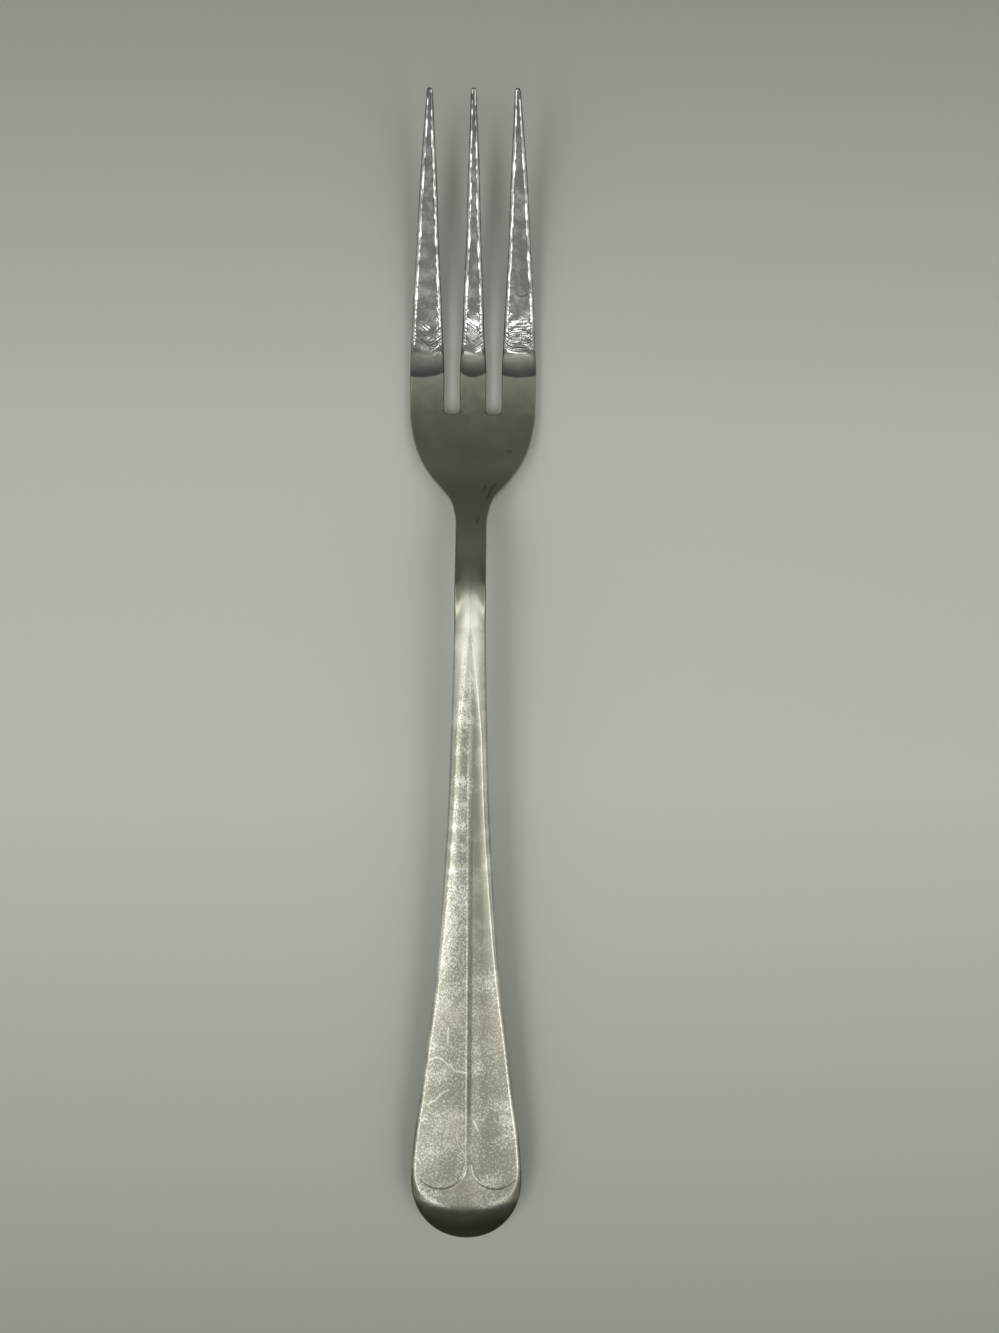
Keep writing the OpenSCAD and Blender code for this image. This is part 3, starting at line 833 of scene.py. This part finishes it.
BAR_MARKS, BAR_COUNTS = [groove_side, ridge, edge_start], [10, 46, 12, 6]
HANDLE_STATIONS = spread([TURN_Y, -80, -50, NECK_Y], [100, 200, 200])
handle = skin("handle", (99, 4), HANDLE_STATIONS, zero, half_width,
              BAR_MARKS, BAR_COUNTS, handle_top, bar_inside, handle_looks)

NECK_STATIONS = spread([NECK_Y, HEAD_Y], [65])
neck = skin("neck", (len(NECK_STATIONS) - 2,), NECK_STATIONS, zero, half_width,
            BAR_MARKS, BAR_COUNTS, handle_top, bar_inside, handle_looks)

END_COUNTS = [100, 8]
end_angles = np.linspace(math.pi / 2, math.asin(place(TURN_Y, WIDEST_Y, END_Y)), 100)
END_STATIONS = WIDEST_Y - END_ROUND * np.sin(end_angles)
handle_end = skin("handle_end", (len(END_STATIONS) - 2,), END_STATIONS, zero,
                  half_width, [edge_start], END_COUNTS, handle_top, bar_inside, handle_looks)

# %% [markdown]
# The head is one slightly dished plate up to the bottom of the slots. Slots could be cut out of it
# with a boolean, but that leaves rough corners, so the head ends there and the tines are skins of
# their own.

# %% Head
HEAD_STAINS = [
    [(4.0, 33.2), (3.3, 32.3), (2.7, 30.6)], [(2.3, 32.8), (2.0, 32.0)], [(1.3, 27.2), (1.0, 26.5)],
]
# The last of these darkens the middle of the head: painted shade.
STAIN_W, SMUDGE, HEAD_MIDDLE_SHADE = 0.22, (6.4, 39.2, 0.6, 0.25), (0, 34, 7, 6)
MARK_DIRT, HEAD_SHADE_DEPTH = 0.5, 0.2


def head_top(x, y):
    return blade_top(x, y, HEAD_W)


def head_front_inside(x, y):
    """Distance inside the outline of the head, whose front edge is the bottom of the slots."""
    plain = plain_inside(x, y)
    return np.where(y < SLOT_Y - SLOT_REACH, plain, np.minimum(plain, from_slots(x, y)))


def head_looks(x, y):
    """A satin plate with painted shade in its middle and a few dark marks."""
    marks = sum(line(x, y, points, STAIN_W) for points in HEAD_STAINS) + spot(x, y, *SMUDGE)
    # The stain marks are dirt; the darker middle of the head is painted shade.
    dirt = MARK_DIRT * marks + HEAD_SHADE_DEPTH * spot(x, y, *HEAD_MIDDLE_SHADE)
    return {"finish": 1 + 0 * x, "dirt": np.clip(dirt, 0, 1), "bright": 0 * x}


HEAD_COUNTS = [96, 5]
HEAD_STATIONS = spread([HEAD_Y, SLOT_Y - 1.2, SLOT_Y], [80, 20])
head = skin("head", (len(HEAD_STATIONS) - 2,), HEAD_STATIONS, zero, half_width,
            [edge_start], HEAD_COUNTS, head_top, head_front_inside, head_looks)

# %% [markdown]
# The three tines. A tine's sides open into the slot's round corners at its root, and its tip is
# rounded all round. The three are alike, so one loop makes them, with a side of -1, 0 or 1. A
# mirrored copy would save one press, but the marks of wear differ on all three.

# %% Roots and tips of the tines
LEAST_TIP = 0.04


def corner_fill(y):
    """How far the slot's round corner stands out from the tine's straight side."""
    left = np.clip(SLOT_Y + SLOT_R - y, 0, SLOT_R)
    return SLOT_R - np.sqrt(np.maximum(0, SLOT_R ** 2 - left ** 2))


def tip_shrink(y):
    """The section shrinks to a small end over the round of the tip."""
    return np.maximum(LEAST_TIP, np.sqrt(np.maximum(0, 1 - place(y, TIP_Y - TIP_ROUND, TIP_Y) ** 2)))


TINE_COUNTS = [16, 8, 6]
root_angles = np.linspace(0, math.pi / 2, 9)
tip_angles = np.linspace(0, math.pi / 2, 17)[1:]
tine_stations = (
    list(SLOT_Y + SLOT_R * (1 - np.cos(root_angles)))
    + spread([SLOT_Y + SLOT_R, SLOT_Y + 24, TIP_Y - TIP_ROUND], [216, 160])[1:]
    + list(TIP_Y - TIP_ROUND + TIP_ROUND * np.sin(tip_angles))
)
print("stations on a tine:", len(tine_stations))

# %% Looks of the tines
BAND_Y, BAND_SHARP, BAND_FADE = 52.0, 0.35, 4.5
MIDDLE_SAG, LESS_SAG, LEFT_SLANT = 0.9, 0.5, 0.35
SMILE_X, SMILE_Y, SMILE_R, SMILE_W, SMILE_END, SMILE_REACH = 8.3, 67.2, 1.3, 0.14, 66.6, 1.1
TINE_CLOUDS = [(-8.6, 72.6, 0.9, 0.8, 0.6), (-8.6, 69.3, 0.9, 0.8, 0.6), (-8.6, 66.5, 0.9, 0.8, 0.6)]
BEAD, BEADS_TO, DASHES_FROM = 0.75, FACET_Y + 8, FACET_Y + 13
# The band's darkness is a painted dark reflection.
# The beads along the chamfers are painted highlights.
BAND_SHADE, SMILE_DIRT, BEAD_HIGHLIGHT, BEAD_W = 0.9, 0.7, 0.5, 0.16
ROOT_FINISH = 0.45


def gaps_between_lights(y, turn):
    """1 where the chamfer is painted dark between its painted highlights: even beads near the root and uneven
    dashes beyond.
    """
    dashes = np.sin(1.7 * y + turn) + np.sin(0.83 * y - 2 * turn) + 0.5 * np.sin(4.1 * y)
    beads = np.sin(2 * np.pi * y / BEAD) + 0.6
    return 1 - ease(beads + (dashes - beads) * ease(y, BEADS_TO, DASHES_FROM), -0.5, 0.5)


def blade_looks(x, y, way, over, inside, half):
    """Turns from satin to polished in two steps, at a band of painted dark reflection and at the facets. over
    is -1 to 1.
    """
    bent = y - (MIDDLE_SAG - LESS_SAG * abs(way)) * over ** 2 - LEFT_SLANT * (way < 0) * over
    # Painted dark reflection: a dark band across the tine where its polish starts.
    band = ease(bent, BAND_Y, BAND_Y + BAND_SHARP) * (y < FACET_Y)
    band = band * (1 - 0.8 * ease(bent, BAND_Y + 0.3, BAND_Y + BAND_FADE))
    smile = bell(np.hypot(x - SMILE_X, y - SMILE_Y), SMILE_R, SMILE_W)
    smile = smile * (y < SMILE_END) * (np.abs(x - SMILE_X) < SMILE_REACH)
    # Painted highlights along the chamfer, broken into beads and dashes.
    edge = bell(inside, np.minimum(CHAMFER_W, CHAMFER_SHARE * half), BEAD_W) * ease(y, FACET_Y - 1, FACET_Y)
    gaps = gaps_between_lights(y, 1.3 * np.sign(over) + 2.1 * way)
    at_facets = (1 - ROOT_FINISH) * ease(y, FACET_Y - 1, FACET_Y)
    return {
        "finish": ROOT_FINISH * ease(bent, BAND_Y, BAND_Y + 0.4) + at_facets,
        # Between its painted highlights the chamfer is painted dark.
        "dirt": np.clip(BAND_SHADE * band + SMILE_DIRT * smile + gaps * edge, 0, 1),
        "bright": np.clip(spots(x, y, TINE_CLOUDS) + BEAD_HIGHLIGHT * edge, 0, 1),
    }


print(f"the dark band starts at {BAND_Y} mm and the facets at {FACET_Y} mm")

# %% Tines
TINES = {"tine_left": -1, "tine_middle": 0, "tine_right": 1}
for name, way in TINES.items():
    def middle(y, way=way):
        return way * (right_tine(y)[0] - corner_fill(y) / 2)

    def half_of(y, way=way):
        return right_tine(y)[1] + corner_fill(y) / 2 if way else middle_tine(y)[1] + corner_fill(y)

    def chamfer_start(y, half_of=half_of):
        return half_of(y) - narrow_chamfer(y, half_of(y))

    def tine_edge(y, half_of=half_of):
        return half_of(y) - np.minimum(EDGE_R, 0.5 * half_of(y))

    def tine_top(x, y, half_of=half_of):
        return blade_top(x, y, half_of(y))

    def tine_inside(x, y, middle=middle, half_of=half_of):
        return half_of(y) - np.abs(x - middle(y))

    def tine_looks(x, y, middle=middle, half_of=half_of, way=way):
        off, half = x - middle(y), half_of(y)
        return blade_looks(x, y, way, off / half, half - np.abs(off), half)

    skin(name, (99, 3), tine_stations, middle, half_of, [chamfer_start, tine_edge],
         TINE_COUNTS, tine_top, tine_inside, tine_looks, tip_shrink)

# %% [markdown]
# Steel. The fork has three finishes: polished tines, a satin head and neck, and a handle that is
# worn and finely pitted. They show the same grain, scratches and clouds in different amounts. Built
# into each material these would be there three times, so each is a node group with named inputs.

# %% Node helpers
FLOAT, VECTOR = "NodeSocketFloat", "NodeSocketVector"


def group(name, inputs, outputs):
    tree = bpy.data.node_groups.new(name, "ShaderNodeTree")
    for label, kind, value in inputs:
        made = tree.interface.new_socket(label, in_out="INPUT", socket_type=kind)
        if value is not None:
            made.default_value = value
    for label, kind in outputs:
        tree.interface.new_socket(label, in_out="OUTPUT", socket_type=kind)
    return tree, tree.nodes.new("NodeGroupInput"), tree.nodes.new("NodeGroupOutput")


def node(tree, kind, inputs=None, **settings):
    """Adds a node; inputs gives each socket a value or another node's output."""
    made = tree.nodes.new(kind)
    for key, value in settings.items():
        setattr(made, key, value)
    for key, value in (inputs or {}).items():
        if isinstance(value, bpy.types.NodeSocket):
            tree.links.new(value, made.inputs[key])
        else:
            made.inputs[key].default_value = value
    return made


def math_node(tree, operation, a, b=0.0, clamp=False):
    return node(tree, "ShaderNodeMath", {0: a, 1: b}, operation=operation, use_clamp=clamp).outputs[0]


def ramp(tree, value, low, high, out_low=0.0, out_high=1.0):
    """value from low to high becomes out_low to out_high, and stays there beyond them."""
    return node(tree, "ShaderNodeMapRange", {
        "Value": value, "From Min": low, "From Max": high, "To Min": out_low, "To Max": out_high,
    }, clamp=True).outputs["Result"]


def mix_value(tree, share, a, b):
    return node(tree, "ShaderNodeMix", {0: share, 2: a, 3: b}, data_type="FLOAT").outputs[0]


def mix_colour(tree, share, a, b):
    wrap = [c if isinstance(c, bpy.types.NodeSocket) else (*c, 1) for c in (a, b)]
    return node(tree, "ShaderNodeMix", {0: share, 6: wrap[0], 7: wrap[1]}, data_type="RGBA").outputs[2]


print("the groups' inputs are of two kinds:", FLOAT, "and", VECTOR)

# %% [markdown]
# Grain: rolling and polishing leave fine lines along the fork, and wear leaves pits. A picture of
# brushed steel would repeat itself, so it is noise, drawn out along the fork by its input Length.

# %% Fine grain
GRAIN_DETAIL, GRAIN_ROUGHNESS = 3.0, 0.6
grain, grain_in, grain_out = group("fine_grain", [
    ("Vector", VECTOR, None), ("Grains per metre", FLOAT, 3000.0), ("Length", FLOAT, 4.0),
], [("Height", FLOAT)])
flat = node(grain, "ShaderNodeVectorMath", {0: grain_in.outputs["Vector"]}, operation="MULTIPLY")
drawn = node(grain, "ShaderNodeCombineXYZ", {0: 1.0, 2: 1.0})
grain.links.new(math_node(grain, "DIVIDE", 1.0, grain_in.outputs["Length"]), drawn.inputs[1])
grain.links.new(drawn.outputs[0], flat.inputs[1])
noise = node(grain, "ShaderNodeTexNoise", {
    "Vector": flat.outputs[0], "Scale": grain_in.outputs["Grains per metre"],
    "Detail": GRAIN_DETAIL, "Roughness": GRAIN_ROUGHNESS})
grain.links.new(noise.outputs["Fac"], grain_out.inputs["Height"])
print(grain.name, "has", len(grain.nodes), "nodes")

# %% [markdown]
# Fine scratches: use leaves thin ones that cross and break off. Cut into the mesh they would need
# millions of faces. So they are the borders of long thin cells, and noise breaks them up.

# %% Fine scratches
CELL_SQUEEZE, BROKEN = 0.12, (0.5, 0.62)
scratch, scratch_in, scratch_out = group("fine_scratches", [
    ("Vector", VECTOR, None), ("Per metre", FLOAT, 260.0), ("Turn", FLOAT, 0.0), ("Thinness", FLOAT, 0.03),
], [("Mask", FLOAT)])
turned = node(scratch, "ShaderNodeVectorRotate", {
    "Vector": scratch_in.outputs["Vector"], "Axis": (0, 0, 1), "Angle": scratch_in.outputs["Turn"],
}, rotation_type="AXIS_ANGLE")
squeezed = node(scratch, "ShaderNodeVectorMath", {
    0: turned.outputs[0], 1: (1.0, CELL_SQUEEZE, 1.0)}, operation="MULTIPLY")
cells = node(scratch, "ShaderNodeTexVoronoi", {
    "Vector": squeezed.outputs[0], "Scale": scratch_in.outputs["Per metre"], "Randomness": 1.0,
}, feature="DISTANCE_TO_EDGE")
thin = ramp(scratch, cells.outputs["Distance"], 0.0, scratch_in.outputs["Thinness"], 1.0, 0.0)
broken = node(scratch, "ShaderNodeTexNoise", {
    "Vector": scratch_in.outputs["Vector"], "Scale": scratch_in.outputs["Per metre"], "Detail": 1.0})
whole = ramp(scratch, broken.outputs["Fac"], *BROKEN)
scratch.links.new(math_node(scratch, "MULTIPLY", thin, whole), scratch_out.inputs["Mask"])
print(scratch.name, "has", len(scratch.nodes), "nodes")

# %% [markdown]
# Tarnish leaves worn steel cloudy, with cleaner patches between dull ones. Their frayed borders
# are finer than the skins' points, so they can't be stored there. They are noise. The mask is 1 on
# the cleaner patches, and the input Cover says how much of the metal these take up.

# %% Tarnish
CLOUD_DETAIL, CLOUD_ROUGHNESS, CLOUD_SOFT = 4.0, 0.65, 0.25
tarnish, tarnish_in, tarnish_out = group("tarnish", [
    ("Vector", VECTOR, None), ("Spots per metre", FLOAT, 220.0), ("Cover", FLOAT, 0.5),
], [("Mask", FLOAT)])
cloud = node(tarnish, "ShaderNodeTexNoise", {
    "Vector": tarnish_in.outputs["Vector"], "Scale": tarnish_in.outputs["Spots per metre"],
    "Detail": CLOUD_DETAIL, "Roughness": CLOUD_ROUGHNESS})
bare = math_node(tarnish, "SUBTRACT", 1.0, tarnish_in.outputs["Cover"])
lifted = math_node(tarnish, "SUBTRACT", cloud.outputs["Fac"], bare)
tarnish.links.new(ramp(tarnish, lifted, 0.0, CLOUD_SOFT), tarnish_out.inputs["Mask"])
print(tarnish.name, "has", len(tarnish.nodes), "nodes")

# %% [markdown]
# Each steel is a metal that goes from a dull colour to a clean one in specks and clouds, with dirt
# and painted shade over both, and rubbed places and painted highlights that lighten it. Its
# roughness goes with the finish, and a fine relief breaks up the light. Two materials side by side
# would meet in a hard line. Here each steel goes from one finish to another, and the attribute
# finish says how far it has gone, so the change lies where the photograph has it.

# %% Finishes
FINISHES = {
    "polished": dict(clean=(0.74, 0.75, 0.72), dull=(0.34, 0.35, 0.32),
                     rough=0.1, level=0.4, speck=0.3, cloud=0.9, grain=0.1, pits=0.05, marks=0.1),
    "satin": dict(clean=(0.47, 0.48, 0.385), dull=(0.4, 0.41, 0.315),
                  rough=0.31, level=0.5, speck=0.12, cloud=0.1, grain=0.3, pits=0.1, marks=0.4),
    "worn": dict(clean=(0.88, 0.87, 0.78), dull=(0.36, 0.355, 0.29),
                 rough=0.35, level=0.3, speck=1.6, cloud=0.55, grain=0.6, pits=1.2, marks=0.4),
}
# Grime colours, which also serve for the painted shade.
GRIME_AND_SHADE, TINE_GRIME_AND_SHADE = (0.11, 0.108, 0.064), (0.1, 0.107, 0.1)
WARM_METAL, WARM_SHARE = (0.66, 0.57, 0.48), 0.35
SCRATCH_METAL, SCRATCH_SHARE = (0.95, 0.94, 0.88), 1.0
GRAIN = {"Grains per metre": 2600.0, "Length": 5.0}
PITS = {"Grains per metre": 3700.0, "Length": 1.3}
LINES = {"Per metre": 240.0, "Turn": 0.35}
CROSSING = {"Per metre": 170.0, "Turn": -1.1, "Thinness": 0.02}
CLOUD_COVER, CLOUD_MIDDLE, CLOUD_ROUGH, MATTE_ROUGH = 0.55, 0.4, 0.03, 0.12
SPECKS = (0.3, 0.7, -0.5, 0.5)
RELIEF = 0.012 * MM
LOOKS = ("finish", "dirt", "bright", "warm", "scratch", "smooth", "matte")
print("finishes:", list(FINISHES), "and attributes:", LOOKS)

# %% The steels
def steel(name, near, far, clouds, grime_and_shade):
    """Steel whose finish runs from near to far as the attribute finish runs from 0 to 1."""
    material = bpy.data.materials.new(name)
    material.use_nodes = True
    tree = material.node_tree
    shader = tree.nodes["Principled BSDF"]
    shader.inputs["Metallic"].default_value = 1.0
    where = node(tree, "ShaderNodeTexCoord").outputs["Object"]
    share, dirt, bright, warm, scored, smooth, matte = (
        node(tree, "ShaderNodeAttribute", attribute_name=label).outputs["Fac"] for label in LOOKS)

    def times(a, b):
        return math_node(tree, "MULTIPLY", a, b)

    def plus(a, b, clamp=False):
        return math_node(tree, "ADD", a, b, clamp)

    def minus(a, b):
        return math_node(tree, "SUBTRACT", a, b)

    def shared(made, values):
        return node(tree, "ShaderNodeGroup", {"Vector": where, **values}, node_tree=made).outputs[0]

    def by_finish(key, mix=mix_value):
        return mix(tree, share, FINISHES[near][key], FINISHES[far][key])

    fine, pits = shared(grain, GRAIN), shared(grain, PITS)
    marks = math_node(tree, "MAXIMUM", shared(scratch, LINES), shared(scratch, CROSSING))
    cloudy = shared(tarnish, {"Spots per metre": clouds, "Cover": CLOUD_COVER})
    specks = times(times(ramp(tree, pits, *SPECKS), by_finish("speck")), minus(1.0, smooth))
    drift = times(minus(cloudy, CLOUD_MIDDLE), by_finish("cloud"))
    shine = plus(plus(plus(by_finish("level"), specks), drift), bright, clamp=True)
    metal = mix_colour(tree, shine, by_finish("dull", mix_colour), by_finish("clean", mix_colour))
    metal = mix_colour(tree, times(warm, WARM_SHARE), metal, WARM_METAL)
    metal = mix_colour(tree, times(scored, SCRATCH_SHARE), metal, SCRATCH_METAL)
    tree.links.new(mix_colour(tree, dirt, metal, grime_and_shade), shader.inputs["Base Color"])
    rough = plus(by_finish("rough"), times(matte, MATTE_ROUGH))
    rough = plus(rough, ramp(tree, cloudy, 0, 1, -CLOUD_ROUGH, CLOUD_ROUGH))
    tree.links.new(rough, shader.inputs["Roughness"])
    raised = plus(times(fine, by_finish("grain")), times(pits, by_finish("pits")))
    height = minus(raised, times(marks, by_finish("marks")))
    relief = node(tree, "ShaderNodeBump", {"Height": height, "Strength": 1.0, "Distance": RELIEF})
    tree.links.new(relief.outputs[0], shader.inputs["Normal"])
    print(name, "runs from", near, "to", far)
    return material


tine_steel = steel("tine_steel", "satin", "polished", 420.0, TINE_GRIME_AND_SHADE)
satin_steel = steel("satin_steel", "worn", "satin", 180.0, GRIME_AND_SHADE)
handle_steel = steel("handle_steel", "worn", "satin", 180.0, GRIME_AND_SHADE)
for piece in (handle, handle_end):
    piece.data.materials.append(handle_steel)
for piece in (neck, head):
    piece.data.materials.append(satin_steel)
for name in TINES:
    bpy.data.objects[name + "_skin"].data.materials.append(tine_steel)

# %% [markdown]
# The table: one sheet of pale grey-green paper, much larger than the view. It gets darker towards
# the top and the bottom, as its light falls off. Lamps that fall off so would darken the fork too,
# so this falloff is painted shade in the paper's colour.

# %% Floor
SHEET_SIZE = 3
PALE, FALLOFF_SHADE = (0.69, 0.71, 0.65), (0.4, 0.425, 0.365)
PALEST_Y, PALE_WITHIN, DARK_BEYOND = 0.011, 0.03, 0.13
PAPER_ROUGHNESS, PAPER_GLOSS = 0.9, 0.2
deselect()
bpy.ops.mesh.primitive_plane_add(size=SHEET_SIZE, location=(0, 0, 0))
floor = bpy.context.object
floor.name = "floor"
paper = bpy.data.materials.new("paper")
paper.use_nodes = True
sheet = paper.node_tree
paper_shader = sheet.nodes["Principled BSDF"]
on_sheet = node(sheet, "ShaderNodeTexCoord").outputs["Object"]
sheet_y = node(sheet, "ShaderNodeSeparateXYZ", {0: on_sheet}).outputs["Y"]
from_palest = math_node(sheet, "ABSOLUTE", math_node(sheet, "SUBTRACT", sheet_y, PALEST_Y))
# Painted shade: the paper darkens away from its palest line.
painted_falloff = ramp(sheet, from_palest, PALE_WITHIN, DARK_BEYOND)
sheet.links.new(mix_colour(sheet, painted_falloff, PALE, FALLOFF_SHADE), paper_shader.inputs["Base Color"])
paper_shader.inputs["Roughness"].default_value = PAPER_ROUGHNESS
paper_shader.inputs["Specular IOR Level"].default_value = PAPER_GLOSS
floor.data.materials.append(paper)
print("the paper is", SHEET_SIZE, "m wide and lies at", floor.location.z)

# %% [markdown]
# The lamps. The fork has a soft shadow on both sides of its handle. One lamp would give a shadow
# on one side, so there are two long ones, left and right. A small weak one is above the tines.

# %% Lamps
def lamp(name, place_at, size, power, tall=None):
    made = bpy.data.lights.new(name, "AREA")
    made.shape, made.size, made.size_y, made.energy = "RECTANGLE", size, tall or size, power
    thing = bpy.data.objects.new(name, made)
    bpy.context.scene.collection.objects.link(thing)
    thing.location = place_at
    thing.rotation_euler = (0, -math.atan2(-place_at[0], place_at[2]), 0)


LAMP_X, LAMP_Y, LAMP_UP, LAMP_WIDE, LAMP_LONG = 0.32, -0.385, 0.65, 0.26, 0.94
lamp("lamp_left", (-LAMP_X, LAMP_Y, LAMP_UP), LAMP_WIDE, 1.8, LAMP_LONG)
lamp("lamp_right", (LAMP_X, LAMP_Y, LAMP_UP), LAMP_WIDE, 1.4, LAMP_LONG)
lamp("lamp_above", (0, 0.053, LAMP_UP), 0.03, 0.024)
print("lamps:", [light.name for light in bpy.data.lights])

# %% [markdown]
# The room. Polished metal shows what is round it. A picture of a room would do, but it is one more
# file to carry along, so the room is a brightness for each direction. It is dark, with a lighter
# ceiling, lighter still towards the handle's end and beyond the tips, and two side walls.

# %% Room
ROOM_COLOUR, LEAST = (0.97, 1.0, 0.95, 1), 0.05
CEILING = (0.5, 0.9)
TO_HANDLE_END, BEYOND_TIPS, GLOW = (0.22, -0.08, 0.09, 0.4), (0.56, 0.74, 0, 0.45), (0.62, 0.85, 0, 0.08)
WALLS, WALLS_RISE, WALLS_FADE = (0.4, 0.6, 0, 0.75), (0.2, 0.55), (0.3, 0, 0.15, 1)
world = bpy.data.worlds.new("room")
bpy.context.scene.world = world
world.use_nodes = True
sky = world.node_tree
backdrop = sky.nodes["Background"]
heading = node(sky, "ShaderNodeTexCoord").outputs["Generated"]
toward = node(sky, "ShaderNodeSeparateXYZ", {0: heading}).outputs
ceiling = ramp(sky, toward["Z"], *CEILING)
lengthwise = [ramp(sky, toward["Y"], *stretch) for stretch in (TO_HANDLE_END, BEYOND_TIPS)]
ceiling = math_node(sky, "MULTIPLY", ceiling, math_node(sky, "MAXIMUM", *lengthwise))
level = math_node(sky, "MAXIMUM", ceiling, ramp(sky, toward["Y"], *GLOW))
sideways = math_node(sky, "ABSOLUTE", toward["X"])
walls = math_node(sky, "MULTIPLY", ramp(sky, sideways, *WALLS), ramp(sky, toward["Z"], *WALLS_RISE))
walls = math_node(sky, "MULTIPLY", walls, ramp(sky, toward["Y"], *WALLS_FADE))
level = math_node(sky, "MAXIMUM", level, walls)
sky.links.new(math_node(sky, "ADD", level, LEAST), backdrop.inputs["Strength"])
backdrop.inputs["Color"].default_value = ROOM_COLOUR
print("the room has", len(sky.nodes), "nodes")

# %% [markdown]
# The camera looks straight down, as in the photograph, a little to the right of the fork and
# turned by less than a degree. A longer lens further away would hide how close the photograph was
# taken, which makes the higher parts look larger.

# %% Camera
CAMERA_AT, CAMERA_TURN, LENS, SENSOR = (0.005, 0.002, 0.2626), 0.008, 40.51, 36
camera = bpy.data.objects.new("camera", bpy.data.cameras.new("camera"))
bpy.context.scene.collection.objects.link(camera)
camera.location = CAMERA_AT
camera.rotation_euler = (0, 0, CAMERA_TURN)
camera.data.lens, camera.data.sensor_width = LENS, SENSOR
bpy.context.scene.camera = camera
bpy.context.scene.view_settings.view_transform = "Standard"
print("the camera sees", round(math.degrees(camera.data.angle), 1), "degrees")
